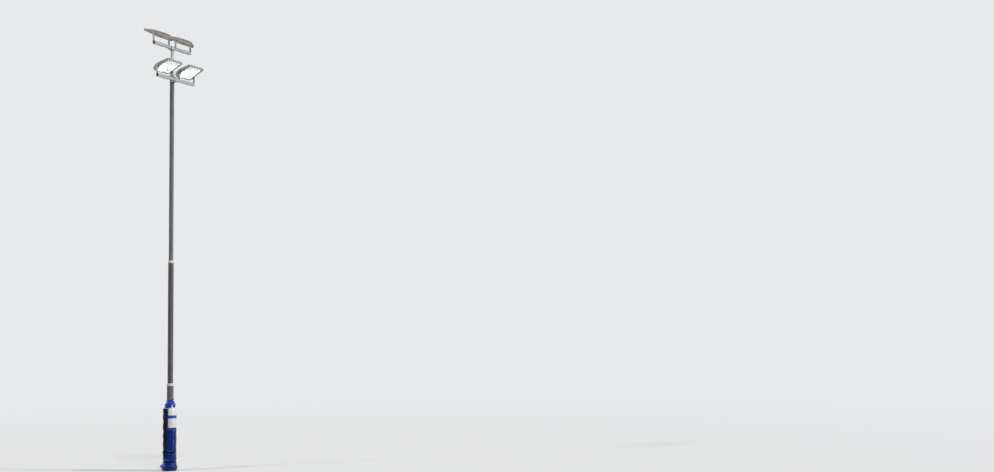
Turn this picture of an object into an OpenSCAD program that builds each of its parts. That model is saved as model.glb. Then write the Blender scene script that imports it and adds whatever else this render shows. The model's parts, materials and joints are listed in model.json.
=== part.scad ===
// Stadium floodlight pylon: a stepped tubular steel mast with two crossarms, four flat-glass
// floodlights that tilt in their yokes, and a foam pad laced round the foot.
// Millimetres, +Z up. The origin is the centre of the mast's foot at ground level.
// +X runs along the crossarms, +Y is the side the upper pair lights, -Y the side the lower pair lights.

/* [Mast] */
// Outer diameter of the bottom tube
base_d = 159; // [150:1:190]
// Wall of the bottom tube
base_wall = 5; // [4:0.5:8]
// Height of the first step above the ground
step1_z = 2100; // [1950:10:2600]
// Outer diameter of the middle tube
mid_d = 133; // [120:1:136]
// Wall of the middle tube
mid_wall = 4.5; // [3:0.5:6]
// Height of the second step above the ground
step2_z = 5130; // [4500:10:6000]
// Outer diameter of the top tube
top_d = 108; // [90:1:112]
// Wall of the top tube
top_wall = 4; // [3:0.5:6]
// Outer diameter of the spigot that carries the upper crossarm
spigot_d = 76; // [60:1:84]
// Wall of the spigot
spigot_wall = 4; // [3:0.5:6]
// How far each tube runs down inside the one below
lap = 260; // [150:10:400]
// Thickness of the plate that closes the foot
foot_t = 12; // [8:1:20]

/* [Step collars] */
// How far a collar's skirt reaches down the lower tube
collar_skirt = 34; // [20:1:60]
// How far a collar stands above the step
collar_rise = 20; // [12:1:40]
// Thickness of a collar's skirt
collar_t = 5; // [3:0.5:10]
// Lip of a collar round the upper tube
collar_lip = 6; // [3:0.5:12]

/* [Crossarms] */
// Width and height of the square tube
arm_w = 70; // [60:1:90]
// Wall of the square tube
arm_wall = 4; // [3:0.5:6]
// Length of a crossarm
arm_l = 1400; // [1320:10:1600]
// Height of the upper crossarm's axis
upper_arm_z = 10525; // [9000:25:12000]
// How far the lower crossarm's axis lies below the upper one's
arm_drop = 825; // [780:5:1200]
// How far the third step lies above the lower crossarm's axis
step3_rise = 150; // [130:5:260]
// How far the lower crossarm stands off the mast
arm_standoff = 25; // [18:1:40]
// Height of the lower crossarm's saddle
saddle_h = 84; // [70:1:92]
// Width of the saddle
saddle_w = 96; // [80:1:100]
// Thickness of the clamp plate in front of the lower crossarm
clamp_plate_t = 8; // [6:1:12]
// Diameter of the round bar of the clamp bows
bow_d = 12; // [10:1:16]
// Thickness of an end cap's flange
cap_t = 4; // [3:0.5:8]

/* [Head plate] */
// Length of the head plate along the crossarm
head_plate_l = 220; // [180:5:260]
// Width of the head plate
head_plate_w = 120; // [100:5:140]
// Thickness of the head plate and its ribs
head_plate_t = 12; // [8:1:16]
// Height of the ribs under the head plate
head_rib_h = 90; // [60:5:140]

/* [Floodlights] */
// Distance of each floodlight from the mast's axis along the crossarm
lamp_x = 420; // [400:5:440]
// Width of the housing
lamp_w = 560; // [500:5:580]
// Reach of the housing in front of its pivot
lamp_front = 360; // [300:5:420]
// Reach of the housing behind its pivot
lamp_rear = 150; // [120:1:152]
// Height of the housing's crown above the pivot
lamp_crown = 80; // [70:1:100]
// Depth of the glass frame's face below the pivot
lamp_face = 45; // [40:1:55]
// Thickness of the cast housing's wall
lamp_wall = 4; // [3:0.5:6]
// How far the crown reaches in front of the pivot
crown_front = 40; // [0:5:80]
// How far the crown reaches behind the pivot
crown_rear = 60; // [40:5:80]
// How far the rear wall's top lies under the crown
shoulder_drop = 46; // [30:1:56]
// Height of the housing's front edge
lip_h = 30; // [24:1:40]
// How far each side leans in from the rim to the crown
side_draft = 26; // [10:1:30]
// Radius of the housing's corners, seen from above
corner_r = 34; // [20:1:50]
// Thickness of the glass frame
frame_t = 14; // [10:1:18]
// Width of the glass frame's rim
frame_rim = 30; // [22:1:40]
// Thickness of the front glass
glass_t = 5; // [4:0.5:6]
// Upward tilt of the floodlights
lamp_tilt = 27; // [15:1:35]
// Thickness of the reflector's sheet
sheet_t = 1.5; // [1:0.5:2]
// Gap between each end of the reflector and the housing's side
reflector_gap = 36; // [33:1:60]
// How far the reflector's crest lies under the housing's crown
crest_drop = 18; // [14:1:30]
// Diameter of the discharge lamp's envelope
burner_d = 30; // [20:1:40]
// Length of the discharge lamp's envelope
burner_l = 230; // [160:5:280]
// Number of cooling fins on the crown
fin_count = 9; // [5:2:15]
// Height of the cooling fins
fin_h = 9; // [6:1:12]
// Thickness of a cooling fin
fin_t = 4; // [3:0.5:5]
// Distance from the outermost fin to the housing's side
fin_inset = 80; // [60:2:120]
// Distance from each end of the rear cover to the housing's side
cover_inset = 100; // [96:2:140]

/* [Yokes] */
// Height of the pivot above the crossarm
yoke_h = 195; // [190:1:240]
// Width of the yoke's flat bar
yoke_w = 60; // [50:1:70]
// Thickness of the yoke's flat bar
yoke_t = 6; // [5:0.5:10]
// Outside radius of the yoke's bends
yoke_bend = 20; // [12:1:30]
// Diameter of the pivot bolts
pivot_d = 12; // [10:1:16]
// Diameter of the pivot bosses on the housing
boss_d = 56; // [40:1:60]
// Height of a pivot boss
boss_h = 10; // [8:1:14]
// Gap between a boss and the yoke
side_gap = 1.5; // [1:0.5:3]
// Radial clearance of the pivot bolts in the yoke
pivot_clear = 0.1; // [0.05:0.05:0.1]

/* [Foot pad] */
// Thickness of the pad's foam, which lies against the bottom tube
pad_foam = 78; // [40:0.5:90]
// Height of the top of the foam
pad_h = 1480; // [1200:10:1600]
// Height of the gathered hood above the foam
hood_h = 265; // [200:5:320]
// Gap between the ground and the pad's skirt
pad_lift = 6; // [2:1:20]
// Height of the skirt that hangs below the foam
skirt_h = 120; // [60:5:200]
// How far the skirt flares beyond the pad
skirt_flare = 30; // [8:1:40]
// Thickness of the cover sheet in the skirt
skirt_t = 4; // [2:0.5:6]
// Direction that the bare panel faces, counted from +X
panel_angle = 250; // [0:5:355]
// Width of the bare panel round the pad
panel_w = 270; // [200:5:300]
// Height of the bare panel
panel_h = 490; // [300:10:600]
// How far the bare panel reaches above the foam
panel_rise = 54; // [0:2:80]
// Thickness of the panel and the lacing flap
strip_t = 3; // [2:0.5:5]
// Direction that the lacing flap faces, counted from +X
lace_angle = 160; // [90:1:200]
// Width of the lacing flap
lace_w = 140; // [60:2:160]
// Height of the lacing flap's lower edge
lace_z = 300; // [200:10:600]

/* [Hidden] */
LEVELS = ["upper", "lower"];
SIDES = ["left", "right"];
LAMP_PIECES = ["yoke", "housing", "reflector", "burner", "glass_frame", "glass"];
$fn = 96;

galvanised = "darkgray";
light_grey = "gainsboro";

lower_arm_z = upper_arm_z - arm_drop;
// The third step lies above the lower crossarm, clear of its clamp bows
step3_z = lower_arm_z + step3_rise;
// The spigot ends under the head plate
spigot_top = upper_arm_z - arm_w / 2 - head_plate_t;
// The lower crossarm stands in front of the mast
lower_arm_y = -(top_d / 2 + arm_standoff + arm_w / 2);
arm_front_y = lower_arm_y - arm_w / 2;
bow_r = top_d / 2 + bow_d / 2 + 0.3;
bow_z = arm_w / 2 + bow_d / 2 + 8;
nut_af = 1.6 * bow_d;

// Half the distance between the inner faces of a yoke
yoke_half = lamp_w / 2 + boss_h + side_gap;
// The housing's rim, on which the glass frame is screwed
rim_z = frame_t - lamp_face;
lamp_l = lamp_front + lamp_rear;
lamp_mid = (lamp_front - lamp_rear) / 2;
// The glass lies in a rebate this far inside the frame's edge
rebate = 0.6 * frame_rim;
cover_t = 16;
reflector_w = lamp_w - 2 * reflector_gap;

// The pad lies against the bottom tube
pad_inner = base_d / 2;
pad_r = pad_inner + pad_foam;

// Points of an arc about c from angle a0 to a1
function arc(c, r, a0, a1, n) =
    [for (i = [0 : n]) c + r * [cos(a0 + (a1 - a0) * i / n), sin(a0 + (a1 - a0) * i / n)]];

// A corner b of an outline, rounded to radius r, between its neighbours a and c
function round_corner(a, b, c, r, n) =
    let (
        u = (a - b) / norm(a - b),
        v = (c - b) / norm(c - b),
        half = acos(u * v) / 2,
        m = (u + v) / norm(u + v),
        centre = b + m * r / sin(half),
        s = b + u * r / tan(half) - centre,
        e = b + v * r / tan(half) - centre,
        a0 = atan2(s[1], s[0]),
        turn = (atan2(e[1], e[0]) - a0 + 540) % 360 - 180
    )
    arc(centre, r, a0, a0 + turn, n);

// An outline through corners [x, y, radius]
function rounded(corners, n = 6) =
    let (k = len(corners))
    [for (i = [0 : k - 1])
        let (
            p = corners[(i + k - 1) % k],
            q = corners[i],
            s = corners[(i + 1) % k]
        )
        each q[2] > 0
            ? round_corner([p[0], p[1]], [q[0], q[1]], [s[0], s[1]], q[2], n)
            : [[q[0], q[1]]]];

module rounded_rect(w, h, r) {
    polygon(rounded([
        [-w / 2, -h / 2, r], [w / 2, -h / 2, r], [w / 2, h / 2, r], [-w / 2, h / 2, r]
    ]));
}

module tube(d, wall, z0, z1) {
    translate([0, 0, z0])
        difference() {
            cylinder(d = d, h = z1 - z0);
            translate([0, 0, -1]) cylinder(d = d - 2 * wall, h = z1 - z0 + 2);
        }
}

// Mast

module foot_plate() {
    color(galvanised) cylinder(d = base_d, h = foot_t);
}

module base_tube() {
    color(galvanised) tube(base_d, base_wall, foot_t, step1_z);
}

module middle_tube() {
    color(galvanised) tube(mid_d, mid_wall, step1_z - lap, step2_z);
}

module top_tube() {
    color(galvanised) tube(top_d, top_wall, step2_z - lap, step3_z);
}

module head_spigot() {
    color(galvanised) tube(spigot_d, spigot_wall, step3_z - lap, spigot_top);
}

// A collar closes a step: its skirt grips the lower tube and its shoulder rests on that tube's end
module step_collar(z, lower_d, upper_d) {
    lower_r = lower_d / 2;
    upper_r = upper_d / 2;
    translate([0, 0, z])
        rotate_extrude()
            polygon([
                [lower_r, -collar_skirt], [lower_r + collar_t, -collar_skirt],
                [lower_r + collar_t, collar_t], [upper_r + collar_lip, collar_rise],
                [upper_r, collar_rise], [upper_r, 0], [lower_r, 0]
            ]);
}

module lower_collar() {
    color(light_grey) step_collar(step1_z, base_d, mid_d);
}

module upper_collar() {
    color(light_grey) step_collar(step2_z, mid_d, top_d);
}

module spigot_collar() {
    color(galvanised) step_collar(step3_z, top_d, spigot_d);
}

// Plate welded on the spigot, with four ribs
module head_plate() {
    rib = (head_plate_w - spigot_d) / 2;
    color(galvanised) {
        translate([0, 0, spigot_top + head_plate_t / 2])
            cube([head_plate_l, head_plate_w, head_plate_t], center = true);
        for (a = [0 : 90 : 270])
            rotate([0, 0, a])
                translate([spigot_d / 2, -head_plate_t / 4, spigot_top])
                    rotate([90, 0, 0])
                        translate([0, 0, -head_plate_t / 2])
                            linear_extrude(head_plate_t / 2)
                                polygon([[0, 0], [rib, 0], [rib, -8], [8, -head_rib_h], [0, -head_rib_h]]);
    }
}

// Crossarms

module square_tube(y, z) {
    translate([-arm_l / 2, y, z])
        rotate([90, 0, 90])
            linear_extrude(arm_l)
                difference() {
                    rounded_rect(arm_w, arm_w, 2 * arm_wall);
                    rounded_rect(arm_w - 2 * arm_wall, arm_w - 2 * arm_wall, arm_wall);
                }
}

// A cap at each end: a flange on the tube's end and a plug in its bore
module end_caps(y, z) {
    bore = arm_w - 2 * arm_wall;
    for (s = [-1, 1])
        translate([s * arm_l / 2, y, z])
            rotate([90, 0, 90 * s])
                rotate([0, 0, s < 0 ? 180 : 0]) {
                    linear_extrude(cap_t) rounded_rect(arm_w, arm_w, 2 * arm_wall);
                    translate([0, 0, -5 * cap_t])
                        linear_extrude(5 * cap_t) rounded_rect(bore - 0.4, bore - 0.4, arm_wall);
                }
}

module upper_crossarm() {
    color(galvanised) square_tube(0, upper_arm_z);
}

module upper_crossarm_caps() {
    color("dimgray") end_caps(0, upper_arm_z);
}

module lower_crossarm() {
    color(galvanised) square_tube(lower_arm_y, lower_arm_z);
}

module lower_crossarm_caps() {
    color("dimgray") end_caps(lower_arm_y, lower_arm_z);
}

// Saddle between the mast and the lower crossarm, hollowed to the mast's round
module lower_saddle() {
    seat = top_d / 2;
    color(galvanised)
        translate([0, 0, lower_arm_z - saddle_h / 2])
            difference() {
                translate([-saddle_w / 2, -seat - arm_standoff, 0])
                    cube([saddle_w, arm_standoff + seat / 2, saddle_h]);
                translate([0, 0, -1]) cylinder(r = seat, h = saddle_h + 2);
            }
}

// Plate on the crossarm's front, drilled for the legs of the two bows
module lower_clamp_plate() {
    w = 2 * (bow_r + bow_d);
    h = 2 * (bow_z + bow_d);
    color(galvanised)
        translate([0, arm_front_y, lower_arm_z])
            rotate([90, 0, 0])
                difference() {
                    linear_extrude(clamp_plate_t) rounded_rect(w, h, 8);
                    for (x = [-bow_r, bow_r], z = [-bow_z, bow_z])
                        translate([x, z, -1]) cylinder(d = bow_d + 1, h = clamp_plate_t + 2);
                }
}

// A bow of round bar goes round the mast's back, and a nut on each leg draws the plate in
module clamp_bow() {
    plate_y = arm_front_y - clamp_plate_t;
    leg = -plate_y + 1.6 * bow_d;
    rotate_extrude(angle = 180) translate([bow_r, 0]) circle(d = bow_d);
    for (x = [-bow_r, bow_r])
        translate([x, 0, 0])
            rotate([90, 0, 0]) {
                cylinder(d = bow_d, h = leg);
                translate([0, 0, -plate_y]) cylinder(d = nut_af / cos(30), h = 0.8 * bow_d, $fn = 6);
            }
}

module lower_clamp_bows() {
    color("silver")
        for (z = [-bow_z, bow_z])
            translate([0, 0, lower_arm_z + z]) clamp_bow();
}

// Foot pad

module pad_body() {
    foot = pad_lift + skirt_h;
    color("royalblue")
        translate([0, 0, foot])
            difference() {
                cylinder(r = pad_r, h = pad_h - foot);
                translate([0, 0, -1]) cylinder(r = pad_inner, h = pad_h - foot + 2);
            }
}

// Above the foam the cover stands up as a loose neck, and a cord gathers its rim to the mast
module pad_hood() {
    color("royalblue")
        translate([0, 0, pad_h])
            rotate_extrude()
                polygon(rounded([
                    [pad_inner, 0, 0], [pad_r, 0, 0],
                    [pad_inner + 0.6 * pad_foam, 0.22 * hood_h, 14],
                    [pad_inner + 0.58 * pad_foam, 0.52 * hood_h, 16],
                    [pad_inner + 0.2 * pad_foam, 0.77 * hood_h, 12],
                    [pad_inner + 7, hood_h, 3], [pad_inner, hood_h, 0]
                ]));
}

// The cover hangs below the foam and flares out over the ground
module pad_skirt() {
    color("royalblue")
        translate([0, 0, pad_lift])
            rotate_extrude()
                polygon([
                    [pad_inner, skirt_h - 30], [pad_r - skirt_t, skirt_h - 30],
                    [pad_r + skirt_flare - skirt_t, 0], [pad_r + skirt_flare, 0],
                    [pad_r, skirt_h - 10], [pad_r, skirt_h], [pad_inner, skirt_h]
                ]);
}

// A strip that lies on the pad, bent to its round
module curved_strip(angle, w, z, h) {
    span = w / pad_r * 180 / PI;
    translate([0, 0, z])
        rotate([0, 0, angle - span / 2])
            rotate_extrude(angle = span)
                translate([pad_r, 0]) square([strip_t, h]);
}

module pad_lacing_strip() {
    color("midnightblue") curved_strip(lace_angle, lace_w, lace_z, pad_h - lace_z);
}

module pad_panel() {
    color("whitesmoke")
        curved_strip(panel_angle, panel_w, pad_h + panel_rise - panel_h, panel_h);
}

// Yokes

// Places a yoke's pivot, with the floodlight's front towards +Y for dir 1 and -Y for dir -1
module at_pivot(x, level) {
    if (level == "upper")
        translate([x, 0, upper_arm_z + arm_w / 2 + yoke_h]) children();
    else
        translate([x, lower_arm_y, lower_arm_z + arm_w / 2 + yoke_h])
            rotate([0, 0, 180]) children();
}

// Flat bar bent to a U, with rounded ends at the pivots
module yoke() {
    outer = yoke_half + yoke_t;
    top = yoke_w / 2;
    difference() {
        intersection() {
            rotate([90, 0, 0])
                translate([0, 0, -yoke_w / 2])
                    linear_extrude(yoke_w)
                        difference() {
                            polygon(rounded([
                                [-outer, top, 0], [-outer, -yoke_h, yoke_bend],
                                [outer, -yoke_h, yoke_bend], [outer, top, 0]
                            ]));
                            polygon(rounded([
                                [-yoke_half, top + 1, 0],
                                [-yoke_half, yoke_t - yoke_h, yoke_bend - yoke_t],
                                [yoke_half, yoke_t - yoke_h, yoke_bend - yoke_t],
                                [yoke_half, top + 1, 0]
                            ]));
                        }
            rotate([90, 0, 90])
                translate([0, 0, -outer - 1])
                    linear_extrude(2 * outer + 2)
                        union() {
                            circle(d = yoke_w);
                            translate([-yoke_w / 2, -yoke_h]) square([yoke_w, yoke_h]);
                        }
        }
        rotate([0, 90, 0])
            translate([0, 0, -outer - 1])
                cylinder(r = pivot_d / 2 + pivot_clear, h = 2 * outer + 2);
    }
}

// Floodlights, each drawn level about its pivot, front towards +Y

// Side outline of the housing, t inside its outer face and open at the rim
function housing_outline(t) =
    let (foot = rim_z - (t > 0 ? 1 : 0))
    rounded([
        [t - lamp_rear, foot, 0],
        [lamp_front - t, foot, 0],
        [lamp_front - t, rim_z + lip_h - 1.2 * t, max(12 - t, 3)],
        [crown_front, lamp_crown - t, 90 - t],
        [-crown_rear, lamp_crown - t, 60 - t],
        [t - lamp_rear, lamp_crown - shoulder_drop - t / 2, 26 - t]
    ]);

// The housing's form: the side outline, drawn in towards the crown and round at its corners in plan
module housing_form(t) {
    half = lamp_w / 2 - t;
    lean_z = rim_z + 12;
    intersection() {
        rotate([90, 0, 90])
            translate([0, 0, -half])
                linear_extrude(2 * half) polygon(housing_outline(t));
        rotate([90, 0, 0])
            translate([0, 0, -lamp_front - 1])
                linear_extrude(lamp_l + 2)
                    polygon([
                        [-half, rim_z - 2], [half, rim_z - 2], [half, lean_z],
                        [half - side_draft, lamp_crown + 2], [side_draft - half, lamp_crown + 2],
                        [-half, lean_z]
                    ]);
        translate([0, lamp_mid, rim_z - 2])
            linear_extrude(lamp_crown - rim_z + 4)
                rounded_rect(2 * half, lamp_l - 2 * t, corner_r - t);
    }
}

// Fins stand on the crown, over the hot end of the housing
module fins() {
    pitch = (lamp_w - 2 * fin_inset) / (fin_count - 1);
    for (i = [0 : fin_count - 1])
        translate([(i - (fin_count - 1) / 2) * pitch - fin_t / 2, 0, 0])
            rotate([90, 0, 90])
                linear_extrude(fin_t)
                    polygon([
                        [-lamp_rear + 34, lamp_crown - 24], [-86, lamp_crown + fin_h],
                        [30, lamp_crown + fin_h], [78, lamp_crown - 16]
                    ]);
}

// Lamp access cover on the rear wall, with its cable gland
module rear_cover() {
    w = lamp_w - 2 * cover_inset;
    h = lamp_crown - 44 - rim_z;
    z = rim_z + 4 + h / 2;
    translate([0, -lamp_rear + 1, z])
        rotate([90, 0, 0]) linear_extrude(cover_t) rounded_rect(w, h, 10);
    translate([lamp_w / 2 - 64, -lamp_rear + 1, z])
        rotate([90, 0, 0]) {
            cylinder(d = 26, h = 10, $fn = 6);
            cylinder(d = 18, h = 20);
        }
}

module pivot_bolts() {
    for (s = [0, 180])
        rotate([0, 0, s])
            rotate([0, 90, 0]) {
                translate([0, 0, lamp_w / 2 - 30]) cylinder(d = boss_d, h = 30 + boss_h);
                translate([0, 0, lamp_w / 2]) cylinder(d = pivot_d, h = boss_h + 2 * side_gap + yoke_t + 1);
                translate([0, 0, yoke_half + yoke_t + side_gap])
                    cylinder(d = 1.9 * pivot_d, h = 0.7 * pivot_d, $fn = 6);
            }
}

module housing() {
    difference() {
        union() {
            housing_form(0);
            fins();
            rear_cover();
            pivot_bolts();
        }
        housing_form(lamp_wall);
    }
}

// Height of the reflector above the rim at a share u of its length: a quarter ellipse from its
// rear foot to its crest, then a long fall to its front foot
reflector_rise = lamp_crown - lamp_wall - crest_drop - rim_z;
crest_share = 0.25;
function reflector_z(u) =
    reflector_rise * (u < crest_share
        ? sqrt(1 - pow(1 - u / crest_share, 2))
        : pow((1 - u) / (1 - crest_share), 1.2));

// Shares of the reflector's length: close together on the ellipse, even along the fall
reflector_steps = [
    for (i = [0 : 9]) crest_share * (1 - cos(9 * i)),
    for (i = [0 : 10]) crest_share + (1 - crest_share) * i / 10
];

// Bent sheet inside the housing. Its feet stand on the glass frame, and a cheek closes each end
module reflector() {
    rear = lamp_wall + 8 - lamp_rear;
    front = lamp_front - lamp_wall - 10;
    inner = [for (u = reflector_steps) [rear + (front - rear) * u, rim_z + reflector_z(u)]];
    outer = [for (p = inner)
        [p[0] + (p[0] < rear + (front - rear) * crest_share ? -sheet_t : sheet_t),
            p[1] + (p[1] > rim_z + 0.01 ? sheet_t : 0)]];
    last = len(inner) - 1;
    cheek = [for (p = inner) [p[0], max(p[1], rim_z + 1)]];
    rotate([90, 0, 90]) {
        translate([0, 0, -reflector_w / 2])
            linear_extrude(reflector_w)
                polygon(concat(inner, [for (i = [last : -1 : 0]) outer[i]]));
        for (x = [-reflector_w / 2, reflector_w / 2 - sheet_t])
            translate([0, 0, x]) linear_extrude(sheet_t) polygon(cheek);
    }
}

// Double-ended discharge lamp between two ceramic holders, on arms that stand on the cheeks
module burner() {
    holder_l = 26;
    cap_l = 30;
    inner = reflector_w / 2 - sheet_t;
    translate([0, 92 - lamp_rear, rim_z + 42])
        rotate([0, 90, 0]) {
            cylinder(d = burner_d, h = burner_l, center = true);
            for (s = [0, 180])
                rotate([0, s, 0]) {
                    translate([0, 0, burner_l / 2 - 6]) cylinder(d = 0.55 * burner_d, h = cap_l + 6);
                    translate([0, 0, burner_l / 2 + cap_l + holder_l / 2])
                        cube([0.9 * burner_d, 1.1 * burner_d, holder_l], center = true);
                    translate([0, 0, burner_l / 2 + cap_l]) cylinder(d = 10, h = inner - burner_l / 2 - cap_l);
                }
        }
}

// Frame screwed under the rim, with a rebate in its upper face for the glass
module glass_frame() {
    translate([0, lamp_mid, -lamp_face])
        difference() {
            linear_extrude(frame_t) rounded_rect(lamp_w, lamp_l, corner_r);
            translate([0, 0, -1])
                linear_extrude(frame_t + 2)
                    rounded_rect(lamp_w - 2 * frame_rim, lamp_l - 2 * frame_rim, corner_r - 20);
            translate([0, 0, frame_t - glass_t])
                linear_extrude(glass_t + 1)
                    rounded_rect(lamp_w - 2 * rebate, lamp_l - 2 * rebate, corner_r - 16);
        }
}

module glass() {
    inset = rebate + 0.5;
    translate([0, lamp_mid, rim_z - glass_t])
        linear_extrude(glass_t)
            rounded_rect(lamp_w - 2 * inset, lamp_l - 2 * inset, corner_r - 16.5);
}

// One piece of a floodlight, placed by its level and side
module place(level, side, piece) {
    at_pivot(side == "left" ? -lamp_x : lamp_x, level) {
        if (piece == "yoke") color(galvanised) yoke();
        rotate([lamp_tilt, 0, 0]) {
            if (piece == "housing") color("beige") housing();
            if (piece == "reflector") color("lightgray") reflector();
            if (piece == "burner") color("ivory") burner();
            if (piece == "glass_frame") color("silver") glass_frame();
            if (piece == "glass") color("lightcyan", 0.5) glass();
        }
    }
}

foot_plate();
base_tube();
lower_collar();
middle_tube();
upper_collar();
top_tube();
spigot_collar();
head_spigot();
head_plate();
upper_crossarm();
upper_crossarm_caps();
lower_crossarm();
lower_crossarm_caps();
lower_saddle();
lower_clamp_plate();
lower_clamp_bows();
pad_body();
pad_hood();
pad_skirt();
pad_lacing_strip();
pad_panel();
for (level = LEVELS, side = SIDES, piece = LAMP_PIECES)
    place(level, side, piece);
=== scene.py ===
import json
import math
import bmesh
import bpy
import numpy as np
from mathutils import Matrix, Vector
from mathutils.bvhtree import BVHTree


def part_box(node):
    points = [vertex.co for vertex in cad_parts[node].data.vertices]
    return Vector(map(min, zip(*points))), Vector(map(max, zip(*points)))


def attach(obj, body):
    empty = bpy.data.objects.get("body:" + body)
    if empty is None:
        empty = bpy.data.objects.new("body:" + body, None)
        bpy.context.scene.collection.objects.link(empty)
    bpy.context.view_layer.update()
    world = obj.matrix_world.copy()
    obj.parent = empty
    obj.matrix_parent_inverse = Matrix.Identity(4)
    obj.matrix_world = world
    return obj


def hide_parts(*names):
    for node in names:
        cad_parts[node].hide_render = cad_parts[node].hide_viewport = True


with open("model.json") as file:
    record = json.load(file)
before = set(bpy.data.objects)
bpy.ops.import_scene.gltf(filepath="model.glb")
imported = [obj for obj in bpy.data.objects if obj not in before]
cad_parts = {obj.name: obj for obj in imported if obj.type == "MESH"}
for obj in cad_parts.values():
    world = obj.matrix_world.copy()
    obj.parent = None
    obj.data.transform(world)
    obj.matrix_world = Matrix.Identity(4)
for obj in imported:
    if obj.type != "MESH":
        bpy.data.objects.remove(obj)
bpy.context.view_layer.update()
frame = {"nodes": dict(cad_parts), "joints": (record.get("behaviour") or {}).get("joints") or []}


# Mast: a closed foot and three steel tubes, each let down into the one below it.
# They are hot-dip galvanised and painted a mid grey, which has chalked and streaked in the rain.

def colour(r, g, b):
    """A paint colour, written 0 to 255 as on a colour card."""
    shares = [c / 255 for c in (r, g, b)]
    return (*(s / 12.92 if s < 0.04045 else ((s + 0.055) / 1.055) ** 2.4 for s in shares), 1.0)


def put(tree, kind, ins=None, **settings):
    """Adds a shader node, sets its settings, and fills or links its inputs."""
    made = tree.nodes.new("ShaderNode" + kind)
    for key, value in settings.items():
        setattr(made, key, value)
    for key, value in (ins or {}).items():
        if isinstance(value, bpy.types.NodeSocket):
            tree.links.new(value, made.inputs[key])
        else:
            made.inputs[key].default_value = value
    return made


def spread(tree, value, low, high, to_low=0.0, to_high=1.0):
    """Stretches a value from low..high to to_low..to_high, and holds it there."""
    ends = {"From Min": low, "From Max": high, "To Min": to_low, "To Max": to_high}
    return put(tree, "MapRange", {"Value": value, **ends}).outputs[0]


def sums(tree, operation, a, b=0.0):
    """One step of arithmetic on values."""
    return put(tree, "Math", {0: a, 1: b}, operation=operation).outputs[0]


def vectors(tree, operation, a, b=(0, 0, 0), result="Vector"):
    """One step of arithmetic on places."""
    return put(tree, "VectorMath", {0: a, 1: b}, operation=operation).outputs[result]


def mix_colour(tree, mask, under, over):
    """Mixes two colours. Each is a socket, three numbers from the colour card, or a light's four."""
    under, over = (colour(*c) if isinstance(c, tuple) and len(c) == 3 else c for c in (under, over))
    return put(tree, "Mix", {0: mask, 6: under, 7: over}, data_type="RGBA").outputs[2]


def noise(tree, place, scale, detail=4.0, rough=0.6, warp=0.0):
    """Cloudy unevenness, so many clouds to the metre."""
    return put(tree, "TexNoise", {"Vector": place, "Scale": scale, "Detail": detail, "Roughness": rough,
                                  "Distortion": warp}).outputs[0]


def start_group(name, inputs, outputs):
    """A node group with named sockets. Returns its tree, its inputs, and a call that sets an output."""
    group = bpy.data.node_groups.new(name, "ShaderNodeTree")
    for label, kind, value in inputs:
        made = group.interface.new_socket(label, in_out="INPUT", socket_type="NodeSocket" + kind)
        made.default_value = value
    for label, kind in outputs:
        group.interface.new_socket(label, in_out="OUTPUT", socket_type="NodeSocket" + kind)
    given = group.nodes.new("NodeGroupInput").outputs
    taken = group.nodes.new("NodeGroupOutput").inputs
    return group, given, lambda label, value: group.links.new(value, taken[label])


def use_group(tree, group, ins):
    return put(tree, "Group", ins, node_tree=group).outputs


def start_finish(name, values):
    """A material with its Principled shader. Returns it, its tree, the shader and the object's place."""
    made = bpy.data.materials.new(name)
    made.use_nodes = True
    tree = made.node_tree
    shader = tree.nodes["Principled BSDF"]
    for label, value in values.items():
        shader.inputs[label].default_value = value
    return made, tree, shader, put(tree, "TexCoord").outputs["Object"]


def coats(tree, shader, tint, *layers):
    """Lays colours over a first one: each layer is its mask, how thickly it lies, and its colour."""
    for mask, share, over in layers:
        tint = mix_colour(tree, sums(tree, "MULTIPLY", mask, share), tint, over)
    tree.links.new(tint, shader.inputs["Base Color"])


def roughen(tree, shader, mask, low, high, most=1):
    """Roughness from low to high, as a mask rises from 0 to its most."""
    tree.links.new(spread(tree, mask, 0, most, low, high), shader.inputs["Roughness"])


def relief(tree, shader, height, depth, strength):
    """Unevenness too small for the mesh, with a depth in metres."""
    bump = put(tree, "Bump", {"Height": height, "Distance": depth, "Strength": strength})
    tree.links.new(bump.outputs[0], shader.inputs["Normal"])


# Rain and age: broad patches, runs that follow the rain down, and small specks.
weathering, given, give = start_group(
    "Weathering", [("Place", "Vector", (0, 0, 0)), ("Fineness", "Float", 1.0)],
    [("Patches", "Float"), ("Runs", "Float"), ("Specks", "Float")])
drawn_out = vectors(weathering, "MULTIPLY", given["Place"], (38, 38, 1.1))
runs_place = put(weathering, "VectorMath", {0: drawn_out, 3: given["Fineness"]}, operation="SCALE").outputs[0]
give("Patches", spread(weathering, noise(weathering, given["Place"], 2.6, 5.0, 0.62), 0.34, 0.66))
give("Runs", spread(weathering, noise(weathering, runs_place, 1.0, 4.0, 0.55), 0.47, 0.70))
give("Specks", spread(weathering, noise(weathering, given["Place"], 170.0, 3.0, 0.7), 0.60, 0.72))

# Wear on edges and corners, broken up so that it isn't an even line.
edge_wear, given, give = start_group(
    "Edge wear", [("Place", "Vector", (0, 0, 0)), ("Width", "Float", 0.003)], [("Mask", "Float")])
rounder = put(edge_wear, "Bevel", {"Radius": given["Width"]}, samples=6).outputs[0]
sharp = put(edge_wear, "NewGeometry").outputs["Normal"]
edge = spread(edge_wear, vectors(edge_wear, "DOT_PRODUCT", rounder, sharp, "Value"), 0.995, 0.86)
rubbed = spread(edge_wear, noise(edge_wear, given["Place"], 90.0), 0.42, 0.62)
give("Mask", sums(edge_wear, "MULTIPLY", edge, rubbed))


def ageing(tree, place, fineness):
    """The marks of the weather on one finish: patches, runs and specks."""
    return use_group(tree, weathering, {"Place": place, "Fineness": fineness})


def worn_edges(tree, place, width):
    """Where a finish has worn on its edges, over a width in metres."""
    return use_group(tree, edge_wear, {"Place": place, "Width": width})["Mask"]


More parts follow.
